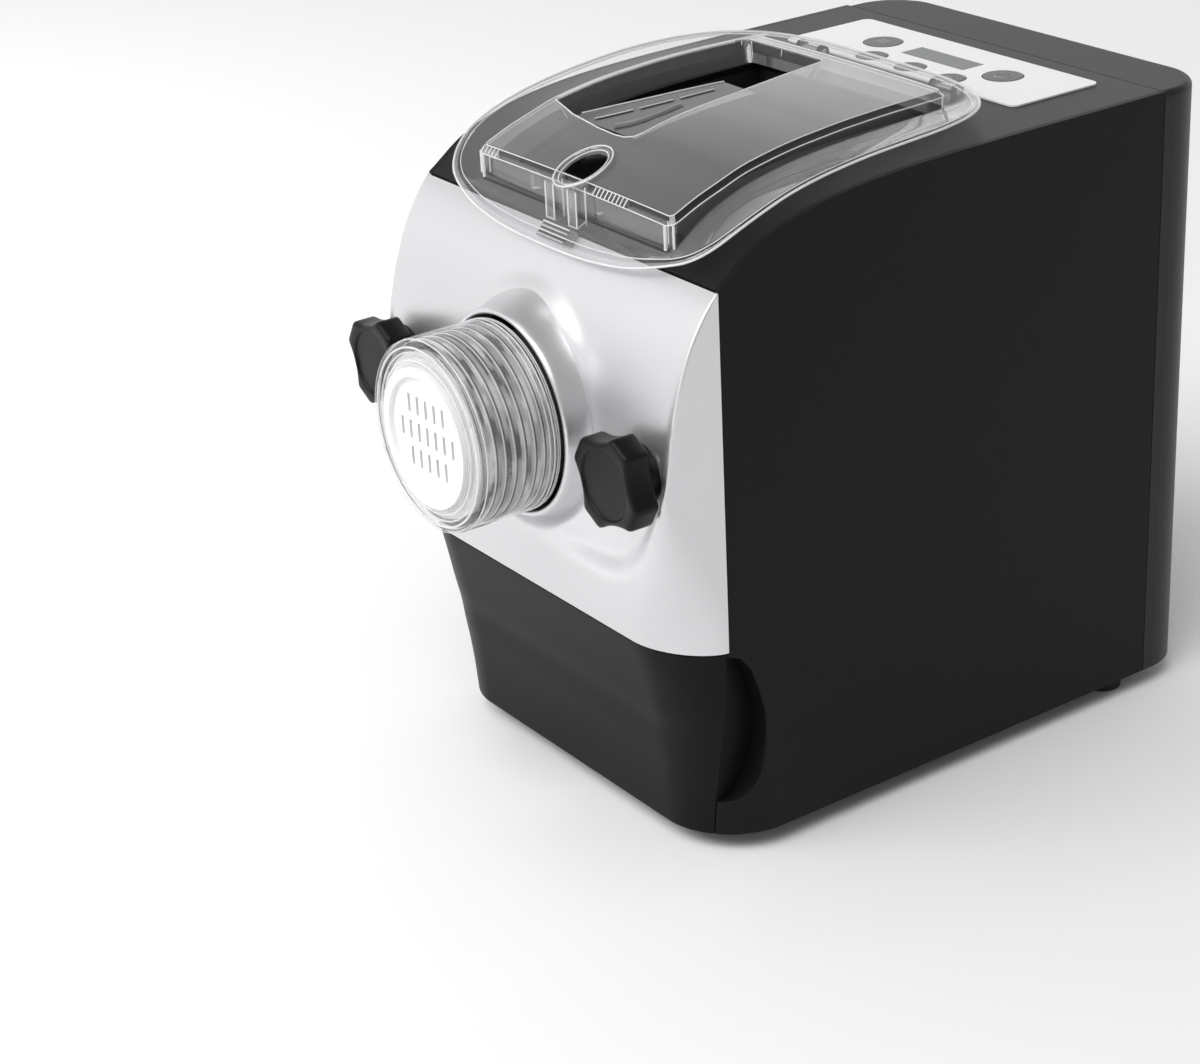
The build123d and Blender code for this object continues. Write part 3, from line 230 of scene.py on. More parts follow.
MAT = {
    "silver_front": material("silver_front", (0.71, 0.71, 0.725), 0.36, 0.85, noise=(14.0, 0.03), bump=(900.0, 0.00003)),
    "black_side": material("black_side", (0.0055, 0.0055, 0.0058), 0.42, 0.0, bump=(1500.0, 0.00002), **{"Specular IOR Level": 0.14}),
    "dark_deck": material("dark_deck", (0.0045, 0.0044, 0.0042), 0.38, 0.0, bump=(1500.0, 0.00002), **{"Specular IOR Level": 0.24}),
    "dark_drawer": material("dark_drawer", (0.0064, 0.0064, 0.0068), 0.40, 0.0, bump=(1500.0, 0.00002), **{"Specular IOR Level": 0.10}),
    "clear_lid": clear("clear_lid", (0.965, 0.965, 0.97), 0.03),
    "clear_nut": clear("clear_nut", (0.97, 0.97, 0.975), 0.03, 1.0),
    # painted highlight: bright lines laid along cut edges, rims, ribs and threads stand for the light they catch
    "painted_edge_highlight": haze("painted_edge_highlight", (0.95, 0.95, 0.96), 0.62, 0.15),
    "clear_latch": haze("clear_latch", (0.36, 0.36, 0.37), 0.50, 0.12),
    "painted_rim_highlight": haze("painted_rim_highlight", (0.72, 0.72, 0.73), 0.30, 0.2),
    "painted_turn_highlight": haze("painted_turn_highlight", (0.86, 0.86, 0.87), 0.50, 0.2),
    "clear_wing": haze("clear_wing", (0.80, 0.80, 0.81), 0.13, 0.3),
    "clear_top": haze("clear_top", (0.80, 0.80, 0.81), 0.165, 0.3),
    "latch_painted_shade": haze("latch_painted_shade", (0.05, 0.05, 0.055), 0.85, 0.2),
    "hopper_painted_shade": haze("hopper_painted_shade", (0.012, 0.012, 0.013), 0.93, 0.28),
    "grate": haze("grate", (0.30, 0.30, 0.305), 0.55, 0.2),
    "painted_slot_shade": haze("painted_slot_shade", (0.012, 0.012, 0.013), 0.92, 0.3),
    "painted_groove_shade": haze("painted_groove_shade", (0.07, 0.07, 0.072), 0.6, 0.3),
    # painted shade: dark lines beside the bright thread lines on the nut and between the lid's rib ticks
    "painted_shade_lines": haze("painted_shade_lines", (0.20, 0.20, 0.21), 0.62, 0.2),
    "nut_core": painted_patch_glass("nut_core"),
    "white_die": material("white_die", (0.86, 0.86, 0.85), 0.45),
    "black_knob": material("black_knob", (0.0065, 0.0065, 0.0065), 0.36, bump=(2200.0, 0.00002), **{"Specular IOR Level": 0.15}),
    "white_panel": material("white_panel", (0.86, 0.86, 0.855), 0.40),
    "grey_button": material("grey_button", (0.125, 0.127, 0.13), 0.42),
    "button_mark": material("button_mark", (0.33, 0.335, 0.34), 0.4),
    "display_grey": material("display_grey", (0.115, 0.122, 0.127), 0.28),
    "black_rubber": material("black_rubber", (0.012, 0.012, 0.012), 0.75),
    "dark_chamber": material("dark_chamber", (0.012, 0.012, 0.013), 0.45),
    "tray_plastic": material("tray_plastic", (0.035, 0.035, 0.038), 0.5),
    "black_case": material("black_case", (0.010, 0.010, 0.0105), 0.42, bump=(1500.0, 0.00002), **{"Specular IOR Level": 0.3}),
    "steel": material("steel", (0.62, 0.62, 0.62), 0.28, 1.0),
    "brass": material("brass", (0.72, 0.52, 0.22), 0.3, 1.0),
    "white_gear": material("white_gear", (0.78, 0.77, 0.72), 0.4),
    "grey_screw": material("grey_screw", (0.13, 0.132, 0.136), 0.42, 0.3),
    "copper": material("copper", (0.70, 0.33, 0.16), 0.35, 1.0),
    "board_green": material("board_green", (0.02, 0.14, 0.06), 0.45),
    "seal_rubber": material("seal_rubber", (0.06, 0.06, 0.06), 0.7),
    "bronze": material("bronze", (0.48, 0.33, 0.16), 0.4, 1.0),
}
SLOT_OF = {s["node"]: s["material_slot"] for s in frame["record"]["subparts"]}


def dress(obj, slot):
    obj.data.materials.clear()
    obj.data.materials.append(MAT[slot])


def shade_by_angle(mesh, deg):
    """Smooth faces with sharp edges above an angle."""
    bm = bmesh.new()
    bm.from_mesh(mesh)
    bmesh.ops.remove_doubles(bm, verts=bm.verts, dist=1e-6)
    lim = math.radians(deg)
    for f in bm.faces:
        f.smooth = True
    for e in bm.edges:
        e.smooth = len(e.link_faces) == 2 and e.calc_face_angle(0.0) < lim
    bm.to_mesh(mesh)
    bm.free()


for name, obj in frame["nodes"].items():
    dress(obj, SLOT_OF[name])



def rounded_panel(node, sign):
    """The side panel with its top edge and finger grip's edge rounded."""
    src = frame["nodes"][node]
    me = src.data.copy()
    me.name = node + "_soft"
    o = bpy.data.objects.new(node + "_soft", me)
    bpy.context.collection.objects.link(o)
    o.matrix_world = src.matrix_world.copy()
    mw = src.matrix_world.copy()
    bm = bmesh.new()
    bm.from_mesh(me)
    bmesh.ops.remove_doubles(bm, verts=bm.verts, dist=2e-6)
    face_x = sign * 0.105

    def flat(f):
        n = mw.to_3x3() @ f.normal
        return abs(n.x) > 0.9999 and all(abs((mw @ v.co).x - face_x) < 2e-5 for v in f.verts)

    inner = [e for e in bm.edges if len(e.link_faces) == 2 and all(flat(f) for f in e.link_faces)]
    bmesh.ops.dissolve_edges(bm, edges=inner, use_verts=False, use_face_split=False)

    def pick(test):
        out = []
        for e in bm.edges:
            if len(e.link_faces) != 2 or sum(flat(f) for f in e.link_faces) != 1:
                continue
            a, b = [mw @ v.co for v in e.verts]
            if test((a.y + b.y) * 500 + Y_SHIFT, (a.z + b.z) * 500, abs(a.y - b.y) * 1000, abs(a.z - b.z) * 1000):
                out.append(e)
        return out

    top = pick(lambda y, z, dy, dz: z > 262.0 and 3.0 < y < 242.5 and dy > 0.01)
    bmesh.ops.bevel(bm, geom=top, offset=0.0023, segments=7, profile=0.5, affect="EDGES", clamp_overlap=True)
    grip = pick(lambda y, z, dy, dz: 25.0 < z < 100.0 and 0.0 < y < 19.5)
    bmesh.ops.bevel(bm, geom=grip, offset=0.0007, segments=3, profile=0.5, affect="EDGES", clamp_overlap=True)
    lim = math.radians(38)
    for f in bm.faces:
        f.smooth = True
    for e in bm.edges:
        e.smooth = len(e.link_faces) == 2 and e.calc_face_angle(0.0) < lim and not any(flat(f) for f in e.link_faces)
    bm.to_mesh(me)
    bm.free()
    dress(o, SLOT_OF[node])
    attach(o, "housing")
    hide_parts(node)
    return o


def tube(name, pts, r, slot, body, rep, look=None, closed=False, n=6):
    """A thin round line through points."""
    verts, faces = [], []
    m = len(pts)
    pv = [Vector(p) for p in pts]
    for i, p in enumerate(pv):
        a = pv[(i - 1) % m] if closed or i > 0 else p
        b = pv[(i + 1) % m] if closed or i < m - 1 else p
        t = (b - a).normalized()
        ref = Vector((0, 0, 1)) if abs(t.z) < 0.9 else Vector((0, 1, 0))
        sd = t.cross(ref).normalized()
        u = sd.cross(t)
        for k in range(n):
            ang = 2 * math.pi * k / n
            verts.append(tuple(p + sd * (r * math.cos(ang)) + u * (r * math.sin(ang))))
    for i in range(m if closed else m - 1):
        j = (i + 1) % m
        for k in range(n):
            l = (k + 1) % n
            faces.append((i * n + k, i * n + l, j * n + l, j * n + k))
    if not closed:
        faces.append(tuple(range(n)))
        faces.append(tuple(reversed(range((m - 1) * n, m * n))))
    o = piece(name, verts, faces, slot, body, rep, sharp=70)
    if look:
        o.data.materials.clear()
        o.data.materials.append(MAT[look])
    return o


def piece(name, verts, faces, slot, body, replaces=(), sharp=35.0, recalc=True):
    """A mesh from millimetre points in the modelling frame, riding on a body."""
    me = bpy.data.meshes.new(name)
    me.from_pydata([tuple(P(*v)) for v in verts], [], faces)
    me.validate()
    bm = bmesh.new()
    bm.from_mesh(me)
    bmesh.ops.remove_doubles(bm, verts=bm.verts, dist=1e-6)
    bmesh.ops.dissolve_degenerate(bm, edges=bm.edges, dist=1e-7)
    if recalc:
        bmesh.ops.recalc_face_normals(bm, faces=bm.faces)
    lim = math.radians(sharp)
    for f in bm.faces:
        f.smooth = True
    for e in bm.edges:
        e.smooth = len(e.link_faces) == 2 and e.calc_face_angle(0.0) < lim
    bm.to_mesh(me)
    bm.free()
    o = bpy.data.objects.new(name, me)
    bpy.context.collection.objects.link(o)
    dress(o, slot)
    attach(o, body)
    if replaces:
        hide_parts(*replaces)
    return o


def lathe(profile, centre, n=96, axis="y"):
    """Turn a closed (a, r) outline about an axis parallel to Y (or Z) through centre."""
    cx, cy, cz = centre
    verts, faces = [], []
    m = len(profile)
    for k in range(n):
        t = 2 * math.pi * k / n
        for a, r in profile:
            if axis == "y":
                verts.append((cx + r * math.cos(t), a, cz + r * math.sin(t)))
            else:
                verts.append((cx + r * math.cos(t), cy + r * math.sin(t), a))
    for k in range(n):
        for i in range(m):
            j = (i + 1) % m
            faces.append((k * m + i, k * m + j, ((k + 1) % n) * m + j, ((k + 1) % n) * m + i))
    return verts, faces


def shell(outer, normals_in, nu, nv, skip=None):
    """Close a grid of outer points (nu x nv) with a grid of inner points and a rim."""
    verts = outer + normals_in
    off = len(outer)
    faces = []
    for i in range(nu - 1):
        for j in range(nv - 1):
            a, b, c, d = i * nv + j, (i + 1) * nv + j, (i + 1) * nv + j + 1, i * nv + j + 1
            if skip and skip([outer[k] for k in (a, b, c, d)]):
                continue
            faces.append((a, b, c, d))
            faces.append((a + off, d + off, c + off, b + off))
    for i in range(nu - 1):
        for j in (0, nv - 1):
            a, b = i * nv + j, (i + 1) * nv + j
            faces.append((a, b, b + off, a + off))
    for j in range(nv - 1):
        for i in (0, nu - 1):
            a, b = i * nv + j, i * nv + j + 1
            faces.append((a, b, b + off, a + off))
    return verts, faces


rounded_panel("right_side_panel", 1)
rounded_panel("left_side_panel", -1)

# ------------------------------------------------------------------ casing surface
# height, front y, crease x, corner control points (x, y) twice, y where the corner meets the flat side
FRONT = [
    (9.2, -9.5, 70.0, 89.0, -9.5, 105.0, 7.0, 26.0),
    (24.0, -10.2, 70.0, 89.0, -10.2, 105.0, 4.5, 22.0),
    (35.1, -11.1, 70.0, 88.7, -11.1, 105.0, 2.0, 18.0),
    (46.2, -12.5, 70.0, 88.4, -12.5, 105.0, -0.5, 14.0),
    (57.3, -13.8, 70.0, 88.1, -13.8, 105.0, -2.5, 11.0),
    (68.6, -16.3, 70.0, 87.8, -16.3, 105.0, -5.0, 7.5),
    (79.8, -18.7, 70.0, 87.5, -18.7, 105.0, -7.0, 5.0),
    (101.2, -23.9, 70.0, 87.0, -23.9, 105.0, -10.0, 1.5),
    (115.0, -26.9, 74.0, 90.0, -26.9, 105.0, -13.5, 0.5),
    (128.5, -29.5, 80.0, 94.5, -29.5, 105.0, -17.5, -4.0),
    (142.0, -31.0, 88.0, 99.5, -31.0, 105.0, -21.5, -10.5),
    (153.0, -31.8, 93.0, 101.8, -31.8, 105.0, -25.0, -16.5),
    (162.0, -32.1, 97.0, 103.2, -32.1, 105.0, -27.6, -21.0),
    (170.0, -32.0, 100.0, 104.2, -32.0, 105.0, -29.6, -25.5),
    (177.0, -31.3, 101.8, 104.6, -31.3, 105.0, -30.2, -27.6),
    (185.0, -29.7, 102.3, 104.7, -29.7, 105.0, -28.7, -26.6),
    (194.0, -28.0, 102.5, 104.8, -28.0, 105.0, -27.0, -25.0),
    (204.4, -26.0, 102.7, 104.8, -26.0, 105.0, -25.0, -23.2),
    (216.3, -23.0, 102.8, 104.8, -23.0, 105.0, -22.0, -20.2),
    (228.8, -18.8, 103.0, 104.8, -18.8, 105.0, -17.8, -16.0),
    (240.0, -14.0, 103.2, 104.9, -14.0, 105.0, -13.1, -11.4),
    (250.2, -7.8, 103.6, 104.9, -7.8, 105.0, -7.0, -5.4),
    (255.0, -4.2, 104.0, 104.95, -4.2, 105.0, -3.6, -2.2),
    (259.2, -0.4, 104.4, 104.97, -0.4, 105.0, 0.0, 1.2),
]
COLS = [[(r[0], r[c]) for r in FRONT] for c in range(1, 8)]
DECK = [(-0.4, 259.2), (2.5, 261.2), (5.8, 263.6), (11.5, 267.8), (19.4, 272.7), (28.2, 276.6), (45.0, 281.8),
        (64.1, 285.2), (85.6, 287.3), (109.8, 288.4), (136.7, 288.9), (164.0, 289.1), (204.0, 289.1), (243.0, 289.1)]
# depth of the scoop below the bow, by height, and its outline
SCOOP_DEPTH = [(124.0, 0.8), (128.5, 2.4), (131.0, 3.2), (135.0, 4.2), (142.0, 5.3), (153.0, 6.1), (162.0, 5.9), (170.0, 5.4), (177.0, 4.5),
               (185.0, 3.0), (194.0, 2.1), (204.4, 1.5), (216.3, 1.0), (229.0, 0.5), (240.0, 0.2), (250.0, 0.0), (262.0, 0.0)]
SCOOP_EDGE = [(0.0, 127.6), (20.0, 127.6), (40.0, 128.0), (58.0, 128.6), (68.0, 130.6), (75.0, 134.0), (81.0, 138.6), (87.0, 144.6), (92.0, 151.5),
              (96.0, 159.0), (99.2, 167.0), (101.6, 175.0), (103.2, 184.0), (103.7, 200.0), (104.0, 230.0), (104.2, 262.0)]


def hull_section(z, y_end, n_flat, n_arc, n_side):
    """Half of the casing's plan section at a height, from the middle to the seam at y_end."""
    f, xc, p1x, p1y, p2x, p2y, y3 = [smooth(c, z) for c in COLS]
    pts = [(xc * i / n_flat, f) for i in range(n_flat)]
    arc = []
    for i in range(61):
        t = i / 60
        a, b, c, d = (1 - t) ** 3, 3 * t * (1 - t) ** 2, 3 * t * t * (1 - t), t**3
        arc.append((a * xc + b * p1x + c * p2x + d * 105.0, a * f + b * p1y + c * p2y + d * y3))
    cut = []
    for p in arc:
        if p[1] > y_end:
            if cut:
                q = cut[-1]
                t = (y_end - q[1]) / (p[1] - q[1])
                cut.append((q[0] + t * (p[0] - q[0]), y_end))
            break
        cut.append(p)
    if cut[-1][1] < y_end - 1e-6:
        cut.append((105.0, y_end))
    total = n_arc + n_side
    length = [0.0]
    for p, q in zip(cut, cut[1:]):
        length.append(length[-1] + math.dist(p, q))
    res = []
    for i in range(total + 1):
        d = length[-1] * i / total
        k = max(j for j in range(len(length)) if length[j] <= d + 1e-9)
        if k >= len(cut) - 1:
            res.append(cut[-1])
        else:
            t = (d - length[k]) / (length[k + 1] - length[k])
            res.append((cut[k][0] + t * (cut[k + 1][0] - cut[k][0]), cut[k][1] + t * (cut[k + 1][1] - cut[k][1])))
    return pts + res


def edge_distance(x, z):
    """Distance to the scoop's outline, positive inside it."""
    x = abs(x)
    best, sign = 1e9, 1.0
    for (x0, z0), (x1, z1) in zip(SCOOP_EDGE, SCOOP_EDGE[1:]):
        dx, dz = x1 - x0, z1 - z0
        t = max(0.0, min(1.0, ((x - x0) * dx + (z - z0) * dz) / (dx * dx + dz * dz)))
        px, pz = x0 + t * dx, z0 + t * dz
        d = math.hypot(x - px, z - pz)
        if d < best:
            best = d
            sign = 1.0 if dx * (z - z0) - dz * (x - x0) > 0 else -1.0
    return best * sign


def fascia_y(x, y, z):
    depth = smooth(SCOOP_DEPTH, z)
    f = smooth(COLS[0], z)
    if depth > 0.01:
        d = edge_distance(x, z)
        wide = 2.4 + 9.0 * (1 - step(150, 185, z))
        w = step(-2.0, wide, d)
        target = f + depth
        if y < target:
            y += (target - y) * w * (1 - (1 - step(2, 66, abs(x))) * 0.75 * (1 - step(140, 172, z)))
    r = math.hypot(x, z - Z_AX)
    floor = -23.2
    k = 1 - step(46.5, 52.8, r)
    if k > 0 and y < floor:
        y += (floor - y) * k
    # soft root of the collar where the casing runs back behind it
    if r < 58.0 and z > Z_AX:
        w = (1 - step(48.0, 58.0, r)) * step(-24.0, -18.0, y)
        y -= 3.2 * w
    return y


def casing_grid(z_list, y_end, n_flat, n_arc, n_side, displace):
    rows = []
    for z in z_list:
        half = hull_section(z, y_end, n_flat, n_arc, n_side)
        full = [(-x, y) for x, y in reversed(half[1:])] + half
        rows.append([(x, displace(x, y, z) if displace else y, z) for x, y in full])
    return rows


def inward(rows, t):
    """Points offset from a grid towards the inside by t."""
    out = []
    nu, nv = len(rows), len(rows[0])
    for i in range(nu):
        for j in range(nv):
            a, b = rows[max(i - 1, 0)][j], rows[min(i + 1, nu - 1)][j]
            c, d = rows[i][max(j - 1, 0)], rows[i][min(j + 1, nv - 1)]
            u = Vector(b) - Vector(a)
            v = Vector(d) - Vector(c)
            n = u.cross(v)
            n.normalize()
            if n.y < 0 or (abs(n.y) < 0.3 and n.x * rows[i][j][0] > 0):
                n = -n
            p = Vector(rows[i][j]) + n * t
            out.append((p.x, p.y, p.z))
    return out


zs = [101.45 + (258.75 - 101.45) * i / 124 for i in range(125)]
rows = casing_grid(zs, -0.25, 62, 22, 14, fascia_y)
nv = len(rows[0])
outer = [p for r in rows for p in r]
verts, faces = shell(outer, inward(rows, 1.8), len(rows), nv, lambda q: all(math.hypot(p[0], p[2] - Z_AX) < 45.5 for p in q))
piece("fascia", verts, faces, "silver_front", "housing", ["front_plate"], sharp=40)

collar = [(-22.0, 42.9), (-33.6, 42.9), (-34.5, 43.1), (-34.95, 43.6), (-35.0, 44.2), (-34.8, 44.8), (-34.2, 45.3), (-33.0, 45.7), (-31.0, 46.1), (-28.0, 46.7), (-25.0, 47.5),
          (-22.5, 48.4), (-20.0, 49.6), (-17.5, 51.2), (-15.6, 53.0), (-13.6, 53.0), (-16.0, 50.0), (-19.5, 47.8), (-19.8, 42.9)]
verts, faces = lathe(collar, (0, 0, Z_AX), 160)
piece("fascia_collar", verts, faces, "silver_front", "housing", ["front_plate"], sharp=50)

zs = [9.35] + [9.2 + (100.75 - 9.2) * i / 60 for i in range(1, 61)]
rows = casing_grid(zs, -1.55, 40, 16, 4, None)
nv = len(rows[0])
outer = [p for r in rows for p in r]
verts, faces = shell(outer, inward(rows, 2.0), len(rows), nv)
piece("drawer_face", verts, faces, "dark_drawer", "drawer", ["drawer_front"], sharp=40)


# ------------------------------------------------------------------ knobs
def knob_outline(n_per=16):
    pts = []
    for k in range(4):
        c = 60.0 + 90.0 * k
        for i in range(n_per // 2):
            a = -15.0 + 30.0 * i / (n_per // 2)
            pts.append((c + a, 20.9 / math.cos(math.radians(a))))
        ax, ay = 21.6 * math.cos(math.radians(15)), 21.6 * math.sin(math.radians(15))
        bx, by = 21.6 * math.cos(math.radians(75)), 21.6 * math.sin(math.radians(75))
        mx, my = 16.9 * math.cos(math.radians(45)), 16.9 * math.sin(math.radians(45))
        for i in range(n_per):
            t = i / n_per
            # a parabola through both corners and the flute's bottom
            qx = (1 - t) * ax + t * bx
            qy = (1 - t) * ay + t * by
            s = 4 * t * (1 - t)
            qx += s * (mx - (ax + bx) / 2)
            qy += s * (my - (ay + by) / 2)
            pts.append((c + math.degrees(math.atan2(qy, qx)), math.hypot(qx, qy)))
    return pts


def soften(pts, passes):
    r = [p[1] for p in pts]
    for _ in range(passes):
        r = [(r[i - 1] + 2 * r[i] + r[(i + 1) % len(r)]) / 4 for i in range(len(r))]
    return [(p[0], q) for p, q in zip(pts, r)]


for side, s in (("right", 1), ("left", -1)):
    cx, cz = s * 87.7, Z_AX - 0.2
    outline = [(a, r * 1.022) for a, r in soften(knob_outline(), 1)]
    levels = [(-28.6, None, 13.5), (-34.8, None, 13.5), (-34.8, 1.2, 0), (-35.1, 0.5, 0), (-36.0, 0.0, 0), (-44.6, 0.0, 0), (-45.9, 0.35, 0), (-46.6, 1.1, 0), (-46.8, 2.2, 0),
              (-46.8, None, 15.9), (-46.6, None, 15.4), (-45.9, None, 14.9), (-45.8, None, 13.5), (-45.95, None, 8.0), (-46.0, None, 0.02)]
    verts, faces = [], []
    n = len(outline)
    for y, inset, rad in levels:
        for ang, r in outline:
            if inset is not None:
                rr = r - inset
            else:
                rr = rad
            a = math.radians(ang)
            zc = cz if not (inset is None and rad == 13.5 and y < -28 and y > -35.5) else Z_AX
            verts.append((cx + rr * math.cos(a), y, zc + rr * math.sin(a)))
    for i in range(len(levels) - 1):
        for j in range(n):
            k = (j + 1) % n
            faces.append((i * n + j, i * n + k, (i + 1) * n + k, (i + 1) * n + j))
    faces.append(tuple(range(n)))
    faces.append(tuple(reversed(range((len(levels) - 1) * n, len(levels) * n))))
    piece(side + "_knob_grip", verts, faces, "black_knob", side + "_knob_turn", [side + "_knob"], sharp=38)


# ------------------------------------------------------------------ lid
LINE = [(-14.1, 240.0), (-7.8, 250.2), (-0.4, 259.2)] + DECK[1:]
BOX_TOP = [(0.5, 277.5), (10.0, 281.5), (19.2, 285.3), (31.0, 289.2), (42.4, 292.8), (55.0, 295.3), (69.4, 297.4), (85.0, 298.8), (100.0, 299.8), (125.0, 300.5), (155.0, 300.6)]
BOX_SIDE = [(4.0, 69.7), (60.0, 68.5), (107.0, 67.1), (155.0, 64.7)]
OUTLINE = [(0, -10.8), (30, -10.3), (55, -8.2), (71, -5.0), (82, -1.0), (89.5, 4.5), (94, 11.5), (96.3, 21), (97, 34), (97, 50), (97.3, 80),
           (97.6, 106.0), (95.6, 128.0), (90.0, 146.0), (80.5, 158.5), (66, 167.5), (46, 172.6), (22, 174.3), (0, 174.5)]
RIM_TOP = [(-40.0, 6.1), (-12.0, 6.1), (30.0, 6.7), (70.0, 7.6), (110.0, 8.6), (135.0, 8.8), (260.0, 8.8)]
BX, BY0, BY1, BR = 69.7, 4.1, 154.9, 4.2


def line_at(y):
    z = smooth(LINE, y)
    dz = (smooth(LINE, y + 0.5) - smooth(LINE, y - 0.5))
    n = math.hypot(1, dz)
    return z, -dz / n, 1 / n


def lift(x, y_plan, h):
    """Point above the casing's top line by h (square to it), seen in plan at (x, y_plan)."""
    y = y_plan
    for _ in range(12):
        z, ny, nz = line_at(y)
        y += (y_plan - (y + ny * h)) * 0.6
    z, ny, nz = line_at(y)
    return (x, y + ny * h, z + nz * h)


def catmull(points, per):
    out = []
    n = len(points)
    for i in range(n - 1):
        p0, p1, p2, p3 = points[max(i - 1, 0)], points[i], points[i + 1], points[min(i + 2, n - 1)]
        if i == 0:
            p0 = (-p2[0], p2[1])
        if i == n - 2:
            p3 = (-p1[0], p1[1])
        for k in range(per):
            t = k / per
            out.append(tuple(0.5 * (2 * b + (c - a) * t + (2 * a - 5 * b + 4 * c - d) * t * t + (3 * b - a - 3 * c + d) * t**3)
                             for a, b, c, d in zip(p0, p1, p2, p3)))
    out.append(points[-1])
    return out


half = catmull(OUTLINE, 6)
rim_plan = half + [(-x, y) for x, y in reversed(half[1:-1])]
centre = (0.0, 78.0)


def box_plan(inset, rad):
    pts = []
    x, y0, y1 = BX - inset, BY0 + inset, BY1 - inset
    rad = max(0.3, rad - inset)
    for cx, cy, a0 in ((x - rad, y0 + rad, -90), (x - rad, y1 - rad, 0), (-x + rad, y1 - rad, 90), (-x + rad, y0 + rad, 180)):
        for i in range(7):
            a = math.radians(a0 + 15 * i)
            pts.append((cx + rad * math.cos(a), cy + rad * math.sin(a)))
    out = []
    for i, p in enumerate(pts):
        q = pts[(i + 1) % len(pts)]
        n = max(1, int(math.dist(p, q) / 4.0))
        out += [(p[0] + (q[0] - p[0]) * k / n, p[1] + (q[1] - p[1]) * k / n) for k in range(n)]
    return [(px * (smooth(BOX_SIDE, py) - inset) / (BX - inset), py) for px, py in out]


def ray_hit(loop, ang):
    dx, dy = math.cos(ang), math.sin(ang)
    best = None
    for p, q in zip(loop, loop[1:] + loop[:1]):
        ex, ey = q[0] - p[0], q[1] - p[1]
        den = dx * ey - dy * ex
        if abs(den) < 1e-12:
            continue
        wx, wy = p[0] - centre[0], p[1] - centre[1]
        t = (wx * ey - wy * ex) / den
        u = (wx * dy - wy * dx) / den
        if t > 0 and -1e-9 <= u <= 1 + 1e-9 and (best is None or t > best):
            best = t
    return (centre[0] + dx * best, centre[1] + dy * best)


angles = sorted({round(math.atan2(y - centre[1], x - centre[0]), 5) for x, y in rim_plan + box_plan(0, BR)})
NA = len(angles)


def rim_height(y):
    return smooth(RIM_TOP, y)


def base_height(y):
    return 2.3 + 1.0 * step(0, 40, y)


# flange: top surface from the rim's outer edge in to the raised box, with the rim's rounded edge and its underside
FLANGE = [(3.4, -1.7), (1.4, -1.9), (0.4, -1.8), (0.0, -1.2), (0.1, -0.5), (0.5, -0.1), (1.1, 0.0), (1.8, -0.1), (2.4, -0.5), (3.2, -1.0)]
verts, faces = [], []
for ang in angles:
    ox, oy = ray_hit(rim_plan, ang)
    ix, iy = ray_hit(box_plan(0, BR), ang)
    dist = math.hypot(ox - ix, oy - iy)
    ux, uy = (ix - ox) / dist, (iy - oy) / dist
    # the rim section runs along the ray from the rim's outer edge in towards the box
    col = []
    for d, h in FLANGE:
        x, y = ox + ux * d, oy + uy * d
        col.append(lift(x, y, rim_height(oy) + h))
    for k in range(1, 15):
        t = k / 14
        d = 3.2 + (dist - 3.2) * t
        x, y = ox + ux * d, oy + uy * d
        hr, hb = rim_height(oy) - 1.0, base_height(y)
        col.append(lift(x, y, hb + (hr - hb) * (1 - t) ** 1.7))
    verts += col
M = len(FLANGE) + 14
for i in range(NA):
    j = (i + 1) % NA
    for k in range(M - 1):
        faces.append((i * M + k, j * M + k, j * M + k + 1, i * M + k + 1))
LID_BODY = "lid_body"
piece("lid_flange", verts, faces, "clear_lid", LID_BODY, ["lid"], sharp=50)


def top_z(x, y):
    return smooth(BOX_TOP, y) - 0.9 * (x / BX) ** 2


# raised box: walls with a chamfered top edge
verts, faces = [], []
CH_DROP, CH_IN = 2.6, 2.3
for ang in angles:
    x, y = ray_hit(box_plan(0, BR), ang)
    b = lift(x, y, base_height(y))
    zt = top_z(x, y) - CH_DROP
    col = [b, (x, y, b[2] + (zt - b[2]) * 0.5), (x, y, zt - 0.45)]
    px, py = ray_hit(box_plan(0.12, BR), ang)
    col.append((px, py, zt))
    px, py = ray_hit(box_plan(0.42, BR), ang)
    col.append((px, py, zt + 0.32))
    px, py = ray_hit(box_plan(CH_IN - 0.35, BR), ang)
    col.append((px, py, top_z(px, py) - 0.36))
    px, py = ray_hit(box_plan(CH_IN, BR), ang)
    col.append((px, py, top_z(px, py) - 0.08))
    px, py = ray_hit(box_plan(3.0, BR), ang)
    col.append((px, py, top_z(px, py)))
    verts += col
LV = 8
for i in range(NA):
    j = (i + 1) % NA
    for k in range(LV - 1):
        faces.append((i * LV + k, j * LV + k, j * LV + k + 1, i * LV + k + 1))
piece("lid_box_walls", verts, faces, "clear_lid", LID_BODY, ["lid"], sharp=50)
verts, faces = [], []
for ang in angles:
    x, y = ray_hit(box_plan(2.2, BR), ang)
    b = lift(x, y, base_height(y) - 0.6)
    verts += [b, (x, y, top_z(x, y) - 2.0)]
for i in range(NA):
    j = (i + 1) % NA
    if verts[2 * i][0] > -60.0 or verts[2 * j][0] > -60.0:
        faces.append((2 * i, 2 * j, 2 * j + 1, 2 * i + 1))
piece("lid_box_inner", verts, faces, "clear_lid", LID_BODY, ["lid"], sharp=50)

# top plate with the pour window and the finger hole
WIN = [(-65.4, 45.5), (-64.3, 42.6), (-44.2, 37.6), (-21.8, 34.9), (-9.4, 34.3), (-2.8, 34.8), (1.5, 37.0), (3.0, 41.2), (3.0, 71.5), (2.8, 91.0), (0.4, 110.7), (-3.0, 131.0), (-5.0, 143.5), (-8.0, 146.4), (-59.0, 146.4), (-61.4, 144.2), (-62.4, 140.0), (-63.9, 107.0)]
HOLE_A, HOLE_B, HOLE_Y = 9.2, 10.2, 11.8


